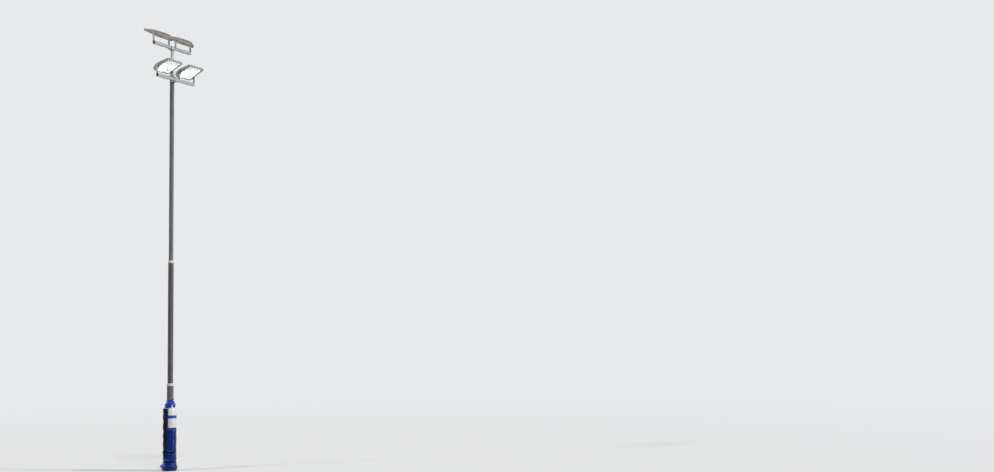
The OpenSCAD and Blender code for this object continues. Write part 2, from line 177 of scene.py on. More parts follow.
def mast_paint(name, dark, light, fineness):
    """Grey paint on one length of the mast, with its patches, rain runs, chalk specks and worn edges."""
    made, tree, shader, place = start_finish(name, {"Metallic": 0.0, "Specular IOR Level": 0.42})
    age = ageing(tree, place, fineness)
    coats(tree, shader, mix_colour(tree, age["Patches"], dark, light), (age["Runs"], 0.45, (62, 62, 64)),
          (age["Specks"], 0.35, (134, 133, 130)), (worn_edges(tree, place, 0.004), 0.5, (150, 152, 154)))
    roughen(tree, shader, age["Patches"], 0.36, 0.52)
    relief(tree, shader, noise(tree, place, 420.0, 3.0), 0.0004, 0.35)
    return made


def dress(finish, *nodes):
    """Gives a finish to pieces that keep the shape they came with."""
    for node in nodes:
        materials = frame["nodes"][node].data.materials
        materials.clear()
        materials.append(finish)


# The one grey paint is given in three shades to match how each length is lit: the top tube lighter, as
# painted light from the lamps above it, and the middle tube darker than the foot, as painted shade.
dress(mast_paint("Grey mast paint, foot", (84, 84, 86), (101, 100, 99), 1.0), "foot_plate", "base_tube")
dress(mast_paint("Grey mast paint, middle", (70, 70, 74), (89, 88, 88), 1.2), "middle_tube")
dress(mast_paint("Grey mast paint, top", (96, 97, 100), (114, 114, 115), 0.9), "top_tube")


# Step collars: thick turned rings that close each step. They are shrunk on, welded along both
# rims, locked by three set screws and painted off-white, which the rain has streaked a dull brown.

def around(r, turn, height=0.0):
    """The point at a distance from the Z axis, turned about it by an angle in radians."""
    return Vector((r * math.cos(turn), r * math.sin(turn), height))


def round_the_clock(count):
    """The angles of a number of equal steps, once round."""
    return [2 * math.pi * k / count for k in range(count)]


def stand(point, degrees, axis):
    """The place of a small part: at a point, turned about one axis."""
    return Matrix.Translation(point) @ Matrix.Rotation(math.radians(degrees), 4, axis)


def skin(bm, rings, closed=False, place=Matrix.Identity(4)):
    """Skins a row of rings of points. A ring of one point closes an end. Returns the rings' corners."""
    rings = [[bm.verts.new(place @ Vector(point)) for point in ring] for ring in rings]
    pairs = list(zip(rings, rings[1:])) + ([(rings[-1], rings[0])] if closed else [])
    for a, b in pairs:
        for k in range(max(len(a), len(b))):
            corners = [a[k % len(a)], a[(k + 1) % len(a)], b[(k + 1) % len(b)], b[k % len(b)]]
            corners = list(dict.fromkeys(corners))
            if len(corners) > 2:
                bm.faces.new(corners)
    return rings


def hexagon(bm, across, low, high, place):
    """A hexagon nut or bolt head with its corners chamfered on the high side."""
    flat = across / 2
    face, slope = 0.94 * flat, 0.58
    angles = round_the_clock(24)
    reach = [flat / math.cos((a + math.radians(30)) % math.radians(60) - math.radians(30)) for a in angles]
    bottom = [around(r, a, low) for r, a in zip(reach, angles)]
    chamfer = [around(r, a, high - (r - face) * slope) for r, a in zip(reach, angles)]
    top = [around(face, a, high) for a in angles]
    skin(bm, [[(0, 0, low)], bottom, chamfer, top, [(0, 0, high)]], place=place)


def round_bar(bm, path, radii, sides=10, closed=False):
    """Round bar, wire, cord or weld bead along a path, with a radius for the whole or for each point."""
    path = [Vector(p) for p in path]
    count = len(path)
    radii = radii if hasattr(radii, "__len__") else [radii] * count
    angles = round_the_clock(sides)
    rings, side = [], None
    for i, (point, radius) in enumerate(zip(path, radii)):
        before = path[i - 1] if closed or i else path[0]
        after = path[(i + 1) % count] if closed or i < count - 1 else path[-1]
        along = (after - before).normalized()
        side = along.orthogonal() if side is None else side - along * side.dot(along)
        side.normalize()
        up = along.cross(side)
        rings.append([point + (side * math.cos(a) + up * math.sin(a)) * radius for a in angles])
    if not closed:
        rings.insert(0, [path[0] - (path[1] - path[0]).normalized() * radii[0] * 0.5])
        rings.append([path[-1] + (path[-1] - path[-2]).normalized() * radii[-1] * 0.5])
    skin(bm, rings, closed)


def make_mesh(name, bm):
    """Turns the work in hand into a mesh, with its faces outwards."""
    bmesh.ops.recalc_face_normals(bm, faces=bm.faces)
    mesh = bpy.data.meshes.new(name)
    bm.to_mesh(mesh)
    bm.free()
    return mesh


def place_piece(name, mesh, finish, body, sharp=38, place=None):
    """Makes a piece that rides on a body. Edges sharper than an angle stay sharp."""
    if not mesh.materials:
        mesh.materials.append(finish)
        mesh.shade_smooth()
        mesh.set_sharp_from_angle(angle=math.radians(sharp))
    made = bpy.data.objects.new(name, mesh)
    bpy.context.scene.collection.objects.link(made)
    if place is not None:
        made.matrix_world = place
    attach(made, body)
    return made


def add_piece(name, bm, finish, sharp=38):
    """Makes a piece of the work in hand, fixed to the mast."""
    return place_piece(name, make_mesh(name, bm), finish, "mast", sharp)


def weld_round(bm, radius, z, size):
    """A run of weld round a tube, with the ripple of its beads."""
    bead_step, wander = 0.0022, 0.0006
    angles = round_the_clock(max(60, int(2 * math.pi * radius / bead_step)))
    path = [around(radius, a, z + wander * math.sin(0.9 * i)) for i, a in enumerate(angles)]
    beads = [size * (1 + 0.14 * math.sin(2.1 * i) + 0.08 * math.sin(0.37 * i)) for i in range(len(path))]
    round_bar(bm, path, beads, 8, True)


collar_paint, tree, shader, place = start_finish("Off-white collar paint", {"Specular IOR Level": 0.45})
age = ageing(tree, place, 1.6)
coats(tree, shader, mix_colour(tree, age["Patches"], (208, 207, 204), (224, 224, 222)),
      (age["Runs"], 0.4, (150, 138, 120)), (worn_edges(tree, place, 0.003), 0.55, (126, 122, 118)))
roughen(tree, shader, age["Specks"], 0.42, 0.6)
relief(tree, shader, noise(tree, place, 380.0, 3.0), 0.0004, 0.4)

plating, tree, shader, place = start_finish("Zinc plating", {"Metallic": 0.9, "Specular IOR Level": 0.5})
spots = spread(tree, noise(tree, place, 160.0), 0.55, 0.72)
coats(tree, shader, mix_colour(tree, spots, (158, 160, 158), (120, 116, 108)),
      (worn_edges(tree, place, 0.0012), 0.6, (196, 197, 196)))
roughen(tree, shader, spots, 0.3, 0.55)
relief(tree, shader, noise(tree, place, 900.0, 2.0), 0.0002, 0.3)


def weld_collar(bm, collar, tube_r, lower_size, upper_size):
    """The two welds of a collar: under its skirt, and where its lip meets the tube above."""
    low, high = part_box(collar)
    weld_round(bm, high.x - 0.0045, low.z - 0.0005, lower_size)
    weld_round(bm, tube_r + 0.0012, high.z + 0.0002, upper_size)


dress(collar_paint, "lower_collar", "upper_collar")
screw_across, screw_head, screw_up = 0.013, 0.006, 0.019
for collar, tube in (("lower_collar", "middle_tube"), ("upper_collar", "top_tube")):
    low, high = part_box(collar)
    bm = bmesh.new()
    weld_collar(bm, collar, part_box(tube)[1].x, 0.0042, 0.0034)
    add_piece(collar + "_welds", bm, collar_paint, 60)
    bm = bmesh.new()
    for degrees in (30, 150, 270):
        turn = Matrix.Rotation(math.radians(degrees), 4, "Z")
        out = turn @ stand((high.x - 0.001, 0, low.z + screw_up), 90, "Y")
        hexagon(bm, screw_across, 0.0, screw_head, out)
    add_piece(collar + "_set_screws", bm, plating)


# Spigot, its collar and the head plate: galvanised after they were welded together, with four
# ribs under the plate. The zinc shows its spangle, and has dulled with white bloom and grey runs.

zinc_spangle, given, give = start_group(
    "Zinc spangle", [("Place", "Vector", (0, 0, 0)), ("Scale", "Float", 60.0)],
    [("Tone", "Float"), ("Bloom", "Float"), ("Height", "Float")])
pushed = vectors(zinc_spangle, "MULTIPLY", given["Place"], (1.0, 0.8, 0.55))
crystals = put(zinc_spangle, "TexVoronoi", {"Vector": pushed, "Scale": given["Scale"]}).outputs
tone = put(zinc_spangle, "SeparateColor", {0: crystals["Color"]}).outputs[0]
fine = noise(zinc_spangle, given["Place"], 330.0, 3.0)
mottled = sums(zinc_spangle, "ADD", tone, sums(zinc_spangle, "MULTIPLY", fine, 0.5))
give("Tone", spread(zinc_spangle, mottled, 0.2, 1.35))
give("Bloom", spread(zinc_spangle, noise(zinc_spangle, given["Place"], 11.0, 6.0, 0.7), 0.52, 0.70))
give("Height", sums(zinc_spangle, "ADD", sums(zinc_spangle, "MULTIPLY", crystals["Distance"], 0.35), fine))

galvanising, tree, shader, place = start_finish("Galvanising", {"Metallic": 0.6, "Specular IOR Level": 0.5})
zinc = use_group(tree, zinc_spangle, {"Place": place, "Scale": 55.0})
coats(tree, shader, mix_colour(tree, zinc["Tone"], (164, 167, 169), (190, 193, 195)),
      (zinc["Bloom"], 0.55, (202, 203, 200)), (ageing(tree, place, 2.0)["Runs"], 0.3, (118, 117, 113)),
      (worn_edges(tree, place, 0.003), 0.4, (205, 207, 208)))
roughen(tree, shader, zinc["Tone"], 0.44, 0.3)
relief(tree, shader, zinc["Height"], 0.0005, 0.4)
dress(galvanising, "head_spigot", "spigot_collar", "head_plate")

plate_thick = 0.012
plate_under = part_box("head_plate")[1].z - plate_thick
spigot_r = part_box("head_spigot")[1].x
rib_faces = (-0.0062, 0.0032)
rib_weld_z = np.linspace(plate_under - 0.004, plate_under - 0.082, 41).tolist()
bm = bmesh.new()
weld_round(bm, spigot_r + 0.0015, plate_under - 0.0015, 0.004)
weld_collar(bm, "spigot_collar", spigot_r, 0.004, 0.003)
for quarter in range(4):
    turn = Matrix.Rotation(quarter * math.pi / 2, 4, "Z")
    for face in rib_faces:
        run = [turn @ Vector((spigot_r + 0.0012, face, z)) for z in rib_weld_z]
        round_bar(bm, run, [0.0026 * (1 + 0.2 * math.sin(2.0 * i)) for i in range(len(run))], 7)
add_piece("head_plate_welds", bm, galvanising, 60)


# Upper crossarm: square galvanised tube on the head plate, under two square U-bolts whose
# threaded legs go down through the plate. Black plastic plugs close both ends of each arm.

def cells(tree, place, scale):
    """The distance from the middle of the nearest cell, so many cells to the metre."""
    return put(tree, "TexVoronoi", {"Vector": place, "Scale": scale}).outputs["Distance"]


moulding, given, give = start_group(
    "Moulded plastic", [("Place", "Vector", (0, 0, 0)), ("Scale", "Float", 500.0)],
    [("Tone", "Float"), ("Height", "Float")])
give("Tone", spread(moulding, noise(moulding, given["Place"], 24.0), 0.35, 0.7))
give("Height", cells(moulding, given["Place"], given["Scale"]))

cap_plastic, tree, shader, place = start_finish("Black cap plastic", {"Specular IOR Level": 0.4})
grain = use_group(tree, moulding, {"Place": place, "Scale": 700.0})
coats(tree, shader, mix_colour(tree, grain["Tone"], (30, 31, 33), (50, 50, 51)),
      (worn_edges(tree, place, 0.002), 0.5, (92, 92, 92)))
roughen(tree, shader, grain["Tone"], 0.5, 0.66)
relief(tree, shader, grain["Height"], 0.0003, 0.4)

dress(galvanising, "upper_crossarm", "lower_crossarm")
dress(cap_plastic, "upper_crossarm_caps", "lower_crossarm_caps")


def bend_path(corners, radius, steps=6):
    """A path through corners, with each inner corner bent to a radius."""
    corners = [Vector(c) for c in corners]
    path = [corners[0]]
    for a, b, c in zip(corners, corners[1:], corners[2:]):
        u, v = (a - b).normalized(), (c - b).normalized()
        half = u.angle(v) / 2
        start, end = b + u * radius / math.tan(half), b + v * radius / math.tan(half)
        middle = b + (u + v).normalized() * radius / math.sin(half)
        for i in range(steps + 1):
            arm = (start - middle).lerp(end - middle, i / steps)
            path.append(middle + arm.normalized() * radius)
    path.append(corners[-1])
    return path


def turned(bm, profile, sides=24, place=Matrix.Identity(4)):
    """Work turned on a lathe: a profile of (radius, height) round the local Z axis."""
    angles = round_the_clock(sides)
    skin(bm, [[around(r, a, h) for a in (angles if r > 0 else angles[:1])] for r, h in profile], place=place)


def washer(bm, bore, outer, low, high, place):
    turned(bm, [(bore, low), (outer, low), (outer, high), (bore, high), (bore, low)], 32, place)


def thread(bm, diameter, pitch, low, high, place):
    """A cut thread: one ridge that climbs round the bar, with a chamfered end."""
    rows = max(3, int(3 * (high - low) / pitch))
    rings = [[(0, 0, low)]]
    for h in np.linspace(low, high, rows + 1).tolist():
        end = diameter / 2 - 0.6 * pitch + (high - h)
        ridge = [diameter / 2 - 0.55 * pitch * abs(2 * ((h / pitch - k / 18) % 1) - 1) for k in range(18)]
        rings.append([around(min(r, end), a, h) for r, a in zip(ridge, round_the_clock(18))])
    skin(bm, [*rings, [(0, 0, high)]], place=place)


u_bolt_x, u_leg_y = 0.082, 0.0415
u_bar_r, u_bend_r = 0.005, 0.011
u_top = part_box("upper_crossarm")[1].z + u_bar_r + 0.0002
washer_thick, nut_across, nut_high = 0.0018, 0.017, 0.008
bm = bmesh.new()
for x in (-u_bolt_x, u_bolt_x):
    corners = [(x, -u_leg_y, plate_under), (x, -u_leg_y, u_top),
               (x, u_leg_y, u_top), (x, u_leg_y, plate_under)]
    round_bar(bm, bend_path(corners, u_bend_r), u_bar_r, 12)
    for y in (-u_leg_y, u_leg_y):
        down = stand((x, y, plate_under), 180, "X")
        washer(bm, 0.0055, 0.0105, 0.0, washer_thick, down)
        hexagon(bm, nut_across, washer_thick, washer_thick + nut_high, down)
        thread(bm, 0.0098, 0.0015, 0.009, 0.021, down)
add_piece("upper_crossarm_u_bolts", bm, plating)


# Lower crossarm: the same tube in front of the mast, on a hollowed saddle. Two bows of round bar
# pass behind the mast and through a plate on the arm's face, and nuts draw the joint together.

dress(galvanising, "lower_saddle", "lower_clamp_plate")
dress(plating, "lower_clamp_bows")

bow_leg_x, bow_nut_r = 0.0603, 0.0111
bow_low, bow_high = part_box("lower_clamp_bows")
clamp_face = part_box("lower_clamp_plate")[0].y
bm = bmesh.new()
for z in (bow_low.z + bow_nut_r, bow_high.z - bow_nut_r):
    for x in (-bow_leg_x, bow_leg_x):
        out = stand((x, clamp_face, z), 90, "X")
        washer(bm, 0.0061, 0.0135, 0.0, 0.0016, out)
        thread(bm, 0.0125, 0.0018, 0.0094, 0.0192, out)
add_piece("lower_clamp_threads", bm, plating)


# Yokes: galvanised flat bar bent to a U, one under each floodlight. A large bolt and two small
# ones hold each to its arm, and notches for aiming are cut round the pivot on the outer faces.

# Each lamp by its name: where it pivots, the body that it turns with, and its place, tilted as at rest
lamp_tilt = math.radians(27)
lamps = {}
for joint in frame["joints"]:
    lamp = joint["name"].removesuffix("_tilt")
    pivot = stand(joint["pos_m"], 0 if lamp.startswith("upper") else 180, "Z")
    lamps[lamp] = {"pivot": pivot, "body": joint["child"],
                   "place": pivot @ Matrix.Rotation(lamp_tilt, 4, "X")}

arm_top, arm_deep, yoke_thick = -0.195, 0.070, 0.006
bm = bmesh.new()
for x, size in ((0.0, 0.016), (-0.095, 0.010), (0.095, 0.010)):
    up = Matrix.Translation((x, 0, arm_top + yoke_thick))
    down = stand((x, 0, arm_top - arm_deep), 180, "X")
    bore, across, thick = size * 0.54, size * 1.5, size * 0.17
    washer(bm, bore, size * 1.05, 0.0, thick, up)
    hexagon(bm, across, thick, size * 0.8, up)
    washer(bm, bore, size * 1.25, 0.0, thick, down)
    hexagon(bm, across, thick, size * 0.97, down)
    thread(bm, size, size * 0.13, size * 0.9, size * 1.5, down)
yoke_bolts = make_mesh("yoke_bolts", bm)

cut_mark, tree, shader, place = start_finish("Cut mark", {"Metallic": 0.3, "Roughness": 0.7})
coats(tree, shader, mix_colour(tree, noise(tree, place, 200.0), (58, 57, 55), (80, 78, 74)))

yoke_low, yoke_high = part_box("upper_right_yoke")
yoke_outer = (yoke_high.x - yoke_low.x) / 2
marks_r, long_mark, short_mark, half_mark = 0.0285, 0.0055, 0.0035, 0.00045
bm = bmesh.new()
for side in (-1, 1):
    for step in range(-8, 9):
        turn = Matrix.Rotation(math.radians(7.5 * step), 4, "X")
        near = marks_r - (long_mark if step % 4 == 0 else short_mark)
        outline = [(-half_mark, near), (half_mark, near), (half_mark, marks_r), (-half_mark, marks_r)]
        faces = [[(side * (yoke_outer + rise), y, z) for y, z in outline] for rise in (-0.0002, 0.00015)]
        sunk, shown = skin(bm, faces, place=turn)
        bm.faces.new(shown)
        bm.faces.new(sunk[::-1])
yoke_notches = make_mesh("yoke_notches", bm)

for lamp, held in lamps.items():
    dress(galvanising, lamp + "_yoke")
    place_piece(lamp + "_yoke_bolts", yoke_bolts, plating, "mast", place=held["pivot"])
    place_piece(lamp + "_yoke_notches", yoke_notches, cut_mark, "mast",
                place=held["pivot"])


# Housings: die-cast aluminium, powder-coated a warm grey, with cooling fins over the hot end. The nuts
# on the pivots, the rear cover's screws and seal, a black cable gland and stiffening ribs are added.

powder_coat, given, give = start_group(
    "Powder coat", [("Place", "Vector", (0, 0, 0)), ("Scale", "Float", 420.0)],
    [("Tone", "Float"), ("Height", "Float")])
give("Tone", spread(powder_coat, noise(powder_coat, given["Place"], 9.0, 5.0), 0.35, 0.68))
give("Height", noise(powder_coat, given["Place"], given["Scale"], 2.0, 0.4))

lamp_casting, tree, shader, place = start_finish(
    "Lamp casting", {"Metallic": 0.0, "Specular IOR Level": 0.45})
coat = use_group(tree, powder_coat, {"Place": place, "Scale": 460.0})
age = ageing(tree, place, 3.0)
coats(tree, shader, mix_colour(tree, coat["Tone"], (142, 137, 127), (163, 158, 147)),
      (age["Runs"], 0.45, (104, 99, 90)), (age["Specks"], 0.3, (88, 84, 77)),
      (worn_edges(tree, place, 0.0025), 0.5, (182, 180, 175)))
roughen(tree, shader, age["Patches"], 0.42, 0.6)
relief(tree, shader, coat["Height"], 0.0006, 0.45)

rubber, tree, shader, place = start_finish("Black rubber", {"Roughness": 0.7, "Specular IOR Level": 0.3})
grain = use_group(tree, moulding, {"Place": place, "Scale": 900.0})
coats(tree, shader, mix_colour(tree, grain["Tone"], (22, 22, 23), (42, 41, 40)))
relief(tree, shader, grain["Height"], 0.0002, 0.3)


def rounded_outline(width, length, radius, steps=6):
    """Corners of a rounded rectangle, centred, in order."""
    found = []
    for cx, cy, start in ((1, 1, 0), (-1, 1, 90), (-1, -1, 180), (1, -1, 270)):
        middle = Vector((cx * (width / 2 - radius), cy * (length / 2 - radius), 0))
        for i in range(steps + 1):
            found.append((middle + around(radius, math.radians(start + 90 * i / steps))).xy)
    return found


def fit_on_lamps(*parts):
    """Fixes each (part, mesh, finish, slot) to all four floodlights; the slot is not used. Returns the pieces
    by name.
    """
    made = {}
    for lamp, held in lamps.items():
        for part, mesh, finish, slot in parts:
            name = f"{lamp}_{part}"
            made[name] = place_piece(name, mesh, finish, held["body"], place=held["place"])
    return made


# Ribs along the front slope, from the highest edge down to the front
rib_pitch, rib_half, rib_rise, rib_root = 0.066, 0.0026, 0.0042, 0.003
rib_from, rib_long = 0.088, 0.226
crest_y, crest_z, slope = 0.040, 0.0800, 0.2531
bm = bmesh.new()
for x in [rib_pitch * (i - 3) for i in range(7)]:
    rings = []
    for share in [k / 12 for k in range(13)]:
        y = rib_from + rib_long * share
        z = crest_z - (y - crest_y) * slope
        top = z + rib_rise * min(1, 5 * share, 5 * (1 - share)) + 0.0004
        rings.append([(x - rib_half, y, z - rib_root), (x + rib_half, y, z - rib_root),
                      (x + rib_half * 0.6, y, top), (x - rib_half * 0.6, y, top)])
    rear, front = (x, rib_from - 0.0005, rings[0][0][2]), (x, rib_from + rib_long + 0.0005, rings[-1][0][2])
    skin(bm, [[rear], *rings, [front]])
casting_ribs = make_mesh("casting_ribs", bm)

# Nuts, washers and bolt ends on the pivots
bolt_end = ((0.0, 0.0096), (0.0052, 0.0099), (0.0, 0.0103))
bm = bmesh.new()
for side in (0.0, math.pi):
    out = Matrix.Rotation(side, 4, "Z") @ Matrix.Rotation(math.pi / 2, 4, "Y")
    washer(bm, 0.0061, 0.0150, yoke_outer + 0.0001, yoke_outer + 0.0014, out)
    hexagon(bm, 0.0204, yoke_outer + 0.0014, yoke_outer + 0.0099, out)
    turned(bm, [(r, yoke_outer + h) for r, h in bolt_end], 18, out)
pivot_nuts = make_mesh("pivot_nuts", bm)

# Screws of the rear cover, its seal, and the gland beside it
cover_back, seal_y, cover_mid_z = -0.165, -0.1512, -0.0095
bm = bmesh.new()
for x in (-0.166, 0.0, 0.166):
    for z in (-0.0175, 0.0025):
        turned(bm, [(0.0, -0.001), (0.0058, -0.001), (0.0058, 0.0012), (0.0046, 0.0032), (0.0024, 0.0038),
                    (0.0022, 0.0020), (0.0, 0.0020)], 20, stand((x, cover_back, z), 90, "X"))
cover_screws = make_mesh("cover_screws", bm)

bm = bmesh.new()
outline = rounded_outline(0.362, 0.0380, 0.011)
round_bar(bm, [(x, seal_y, z + cover_mid_z) for x, z in outline], 0.0021, 8, True)
gland = stand((0.216, -0.150, cover_mid_z), 90, "X")
hexagon(bm, 0.0245, 0.0, 0.0100, gland)
turned(bm, [(0.0104, 0.0100), (0.0104, 0.0120), (0.0099, 0.0128), (0.0099, 0.0165), (0.0088, 0.0205),
            (0.0068, 0.0212), (0.0060, 0.0202), (0.0, 0.0200)], 30, gland)
rear_seals = make_mesh("rear_seals", bm)

dress(lamp_casting, *(lamp + "_housing" for lamp in lamps))
fit_on_lamps(("casting_ribs", casting_ribs, lamp_casting, "lamp_casting"),
             ("pivot_nuts", pivot_nuts, plating, "plated_bolts"),
             ("cover_screws", cover_screws, plating, "plated_bolts"),
             ("rear_seals", rear_seals, rubber, "cap_plastic"))


# Reflectors: bent anodised aluminium sheet, hammered so that it spreads the light. The burner's
# light is painted on it as a glow, strongest beside the burner and weaker towards the front edge.

painted_burner_glow, given, give = start_group(
    "Painted burner glow", [("Place", "Vector", (0, 0, 0)), ("Burner", "Vector", (0, 0, 0))],
    [("Light", "Color"), ("Share", "Float")])
off = vectors(painted_burner_glow, "SUBTRACT", given["Place"], given["Burner"])
off = vectors(painted_burner_glow, "MULTIPLY", off, (0.35, 1.0, 1.0))
share = spread(painted_burner_glow, vectors(painted_burner_glow, "LENGTH", off, result="Value"), 0.03, 0.42, 1.0, 0.22)
give("Share", share)
give("Light", mix_colour(painted_burner_glow, share, (206, 214, 226), (255, 253, 246)))

burner_middle = (0, -0.058, 0.011)
for lamp, held in lamps.items():
    sheet, tree, shader, place = start_finish(
        lamp + " reflector sheet",
        {"Metallic": 0.9, "Emission Strength": 0.85, "Base Color": colour(214, 216, 218)})
    burner = tuple(held["place"] @ Vector(burner_middle))
    lit = use_group(tree, painted_burner_glow, {"Place": place, "Burner": burner})
    dents = put(tree, "TexVoronoi", {"Vector": place, "Scale": 95.0}, feature="SMOOTH_F1").outputs["Distance"]
    shown = sums(tree, "MULTIPLY", lit["Share"], spread(tree, dents, 0.0, 0.7, 1.0, 0.72))
    # The sheet's glow is painted light: bright beside the burner and in the hollows of the dents, dim grey
    # far from it.
    tree.links.new(mix_colour(tree, shown, (70, 74, 82), lit["Light"]), shader.inputs["Emission Color"])
    roughen(tree, shader, dents, 0.16, 0.30, most=0.8)
    relief(tree, shader, dents, 0.003, 0.6)
    dress(sheet, lamp + "_reflector")


# Burners: a double-ended discharge lamp, lit. A quartz envelope with pinched ends holds the arc
# tube, and two ceramic holders on steel arms carry its caps between the reflector's cheeks.

quartz, tree, shader, place = start_finish(
    "Lit quartz", {"Roughness": 0.04, "IOR": 1.45, "Transmission Weight": 0.6, "Emission Strength": 2.4})
haze = noise(tree, place, 60.0, 3.0)
tree.links.new(mix_colour(tree, haze, (250, 250, 246), (255, 252, 238)), shader.inputs["Emission Color"])
coats(tree, shader, mix_colour(tree, haze, (240, 244, 248), (252, 252, 252)))

arc_light, tree, shader, place = start_finish("Arc tube", {"Roughness": 0.3, "Emission Strength": 9.0})
flicker = mix_colour(tree, noise(tree, place, 45.0, 2.0), (255, 250, 232), (240, 246, 255))
tree.links.new(flicker, shader.inputs["Emission Color"])

ceramic, tree, shader, place = start_finish("Ceramic holder", {"Roughness": 0.55, "Specular IOR Level": 0.45})
clay = noise(tree, place, 120.0)
coats(tree, shader, mix_colour(tree, spread(tree, clay, 0.35, 0.7), (214, 205, 188), (188, 176, 156)))
relief(tree, shader, clay, 0.0004, 0.4)


def mirrored(half):
    """The profile of a piece with two like ends, from the profile of its upper half."""
    return [(r, -h) for r, h in half[::-1]] + half


along = stand(burner_middle, 90, "Y")
bm = bmesh.new()
turned(bm, mirrored([(0.0150, 0.070), (0.0146, 0.086), (0.0118, 0.096), (0.0068, 0.104), (0.0052, 0.112),
                     (0.0040, 0.118), (0.0, 0.119)]), 32, along)
burner_envelope = make_mesh("burner_envelope", bm)

bm = bmesh.new()
turned(bm, mirrored([(0.0080, 0.036), (0.0070, 0.047), (0.0035, 0.054), (0.0, 0.055)]), 24, along)
for side in (-1, 1):
    lead = [along @ Vector((x, 0, side * h)) for x, h in ((0, 0.054), (0.002, 0.075), (0.0, 0.106))]
    round_bar(bm, lead, 0.0012, 8)
burner_arc = make_mesh("burner_arc", bm)

holder_low, holder_high = 0.1445, 0.1712
holder = rounded_outline(0.028, 0.032, 0.005, 4)
bm = bmesh.new()
for side in (0.0, math.pi):
    out = along @ Matrix.Rotation(side, 4, "X")
    turned(bm, [(0.0, 0.116), (0.0078, 0.116), (0.0084, 0.119), (0.0084, 0.128), (0.0070, 0.130),
                (0.0084, 0.132), (0.0084, 0.143), (0.0060, 0.146), (0.0, 0.146)], 24, out)
    rings = [[(x * grow, y * grow, h) for x, y in holder]
             for h, grow in ((holder_low, 0.86), (0.1460, 1.0), (0.1700, 1.0), (holder_high, 0.9))]
    skin(bm, [[(0, 0, holder_low)], *rings, [(0, 0, holder_high)]], place=out)
burner_holders = make_mesh("burner_holders", bm)

bm = bmesh.new()
for side in (0.0, math.pi):
    out = along @ Matrix.Rotation(side, 4, "X")
    turned(bm, [(0.0, 0.170), (0.0050, 0.170), (0.0050, 0.2415), (0.0120, 0.2415), (0.0120, 0.2424),
                (0.0, 0.2424)], 20, out)
    wire = [(0.012, 0.006, 0.158), (0.015, 0.008, 0.175), (0.010, 0.010, 0.196), (0.009, 0.004, 0.220),
            (0.012, 0.0, 0.2415)]
    round_bar(bm, [out @ Vector(p) for p in wire], 0.0018, 8)
burner_arms = make_mesh("burner_arms", bm)

burners = fit_on_lamps(("burner_envelope", burner_envelope, quartz, "burner_glass"),
                       ("burner_arc", burner_arc, arc_light, "burner_glass"),
                       ("burner_holders", burner_holders, ceramic, "burner_glass"),
                       ("burner_arms", burner_arms, plating, "plated_bolts"))
for lamp in lamps:
    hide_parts(lamp + "_burner")


# Glass frames: bright cast aluminium frames that hold the front glass in a rubber seal. Steel
# clips on the sides pull the frame up to the housing, and two hinges carry it at the rear.

lamp_frame, tree, shader, place = start_finish("Lamp frame", {"Metallic": 0.35, "Specular IOR Level": 0.5})
coat = use_group(tree, powder_coat, {"Place": place, "Scale": 500.0})
age = ageing(tree, place, 3.0)
coats(tree, shader, mix_colour(tree, coat["Tone"], (168, 168, 166), (192, 192, 190)),
      (age["Runs"], 0.35, (128, 124, 116)), (worn_edges(tree, place, 0.002), 0.4, (214, 214, 214)))
roughen(tree, shader, age["Patches"], 0.34, 0.5)
relief(tree, shader, coat["Height"], 0.0004, 0.35)


def strap(bm, path, across, width, thick):
    """Flat strip bent along a path, its width along one direction."""
    path = [Vector(p) for p in path]
    across = Vector(across).normalized()
    rings = []
    for i, point in enumerate(path):
        along = (path[min(i + 1, len(path) - 1)] - path[max(i - 1, 0)]).normalized()
        out = along.cross(across).normalized()
        w, t = across * width / 2, out * thick / 2
        rings.append([point + corner for corner in (-w - t, w - t, w + t, -w + t)])
    skin(bm, [[path[0]], *rings, [path[-1]]])


# Clips: a lever and a wire bow on the housing's rim, a hook on the frame, and two rivets.
# Each route is given outwards from the side of the lamp and upwards from its pivot.
lamp_side = 0.2800
lever = [(0.0008, -0.0290), (0.0008, -0.0265), (0.0058, -0.0225), (0.0052, -0.0060), (0.0075, -0.0020)]
hook = [(0.0010, -0.0320), (0.0010, -0.0400), (0.0046, -0.0415), (0.0050, -0.0380)]
bow = [(0.0050, -0.009, -0.0180), (0.0036, -0.009, -0.0390),
       (0.0036, 0.009, -0.0390), (0.0050, 0.009, -0.0180)]
bm = bmesh.new()
for side in (-1, 1):
    for y in (0.120, 0.300):
        for route, bend, width in ((lever, 0.0016, 0.024), (hook, 0.0012, 0.020)):
            route = [(side * (lamp_side + x), y, z) for x, z in route]
            strap(bm, bend_path(route, bend, 3), (0, 1, 0), width, 0.0014)
        wire = [(side * (lamp_side + x), y + dy, z) for x, dy, z in bow]
        round_bar(bm, bend_path(wire, 0.003, 4), 0.0011, 8)
        for dy in (-0.0075, 0.0075):
            out = stand((side * (lamp_side + 0.0012), y + dy, -0.0285), side * 90, "Y")
            turned(bm, [(0.0, 0.0), (0.0022, 0.0), (0.0020, 0.0008), (0.0, 0.0013)], 12, out)
frame_clips = make_mesh("frame_clips", bm)

# Screws in the underside of the frame, and its two hinges
frame_under = -0.045
side_screws = [(x, y) for x in (-0.266, 0.266) for y in (-0.100, 0.0, 0.105, 0.210, 0.315)]
end_screws = [(x, y) for x in (-0.19, 0.0, 0.19) for y in (-0.1365, 0.3465)]
bm = bmesh.new()
for x, y in side_screws + end_screws:
    turned(bm, [(0.0, -0.001), (0.0052, -0.001), (0.0052, 0.0010), (0.0040, 0.0026), (0.0021, 0.0030),
                (0.0020, 0.0012), (0.0, 0.0012)], 18, stand((x, y, frame_under), 180, "X"))
pin_y, pin_z = -0.1535, -0.0330
for x in (-0.215, 0.232):
    round_bar(bm, [(x - 0.017, pin_y, pin_z), (x + 0.017, pin_y, pin_z)], 0.0028, 12)
    for dx, end_z in ((-0.0105, -0.0430), (0.0, -0.0220), (0.0105, -0.0430)):
        leaf = [(x + dx, pin_y + 0.0015, pin_z), (x + dx, pin_y + 0.0023, end_z)]
        strap(bm, leaf, (1, 0, 0), 0.0095, 0.0026)
frame_screws = make_mesh("frame_screws", bm)

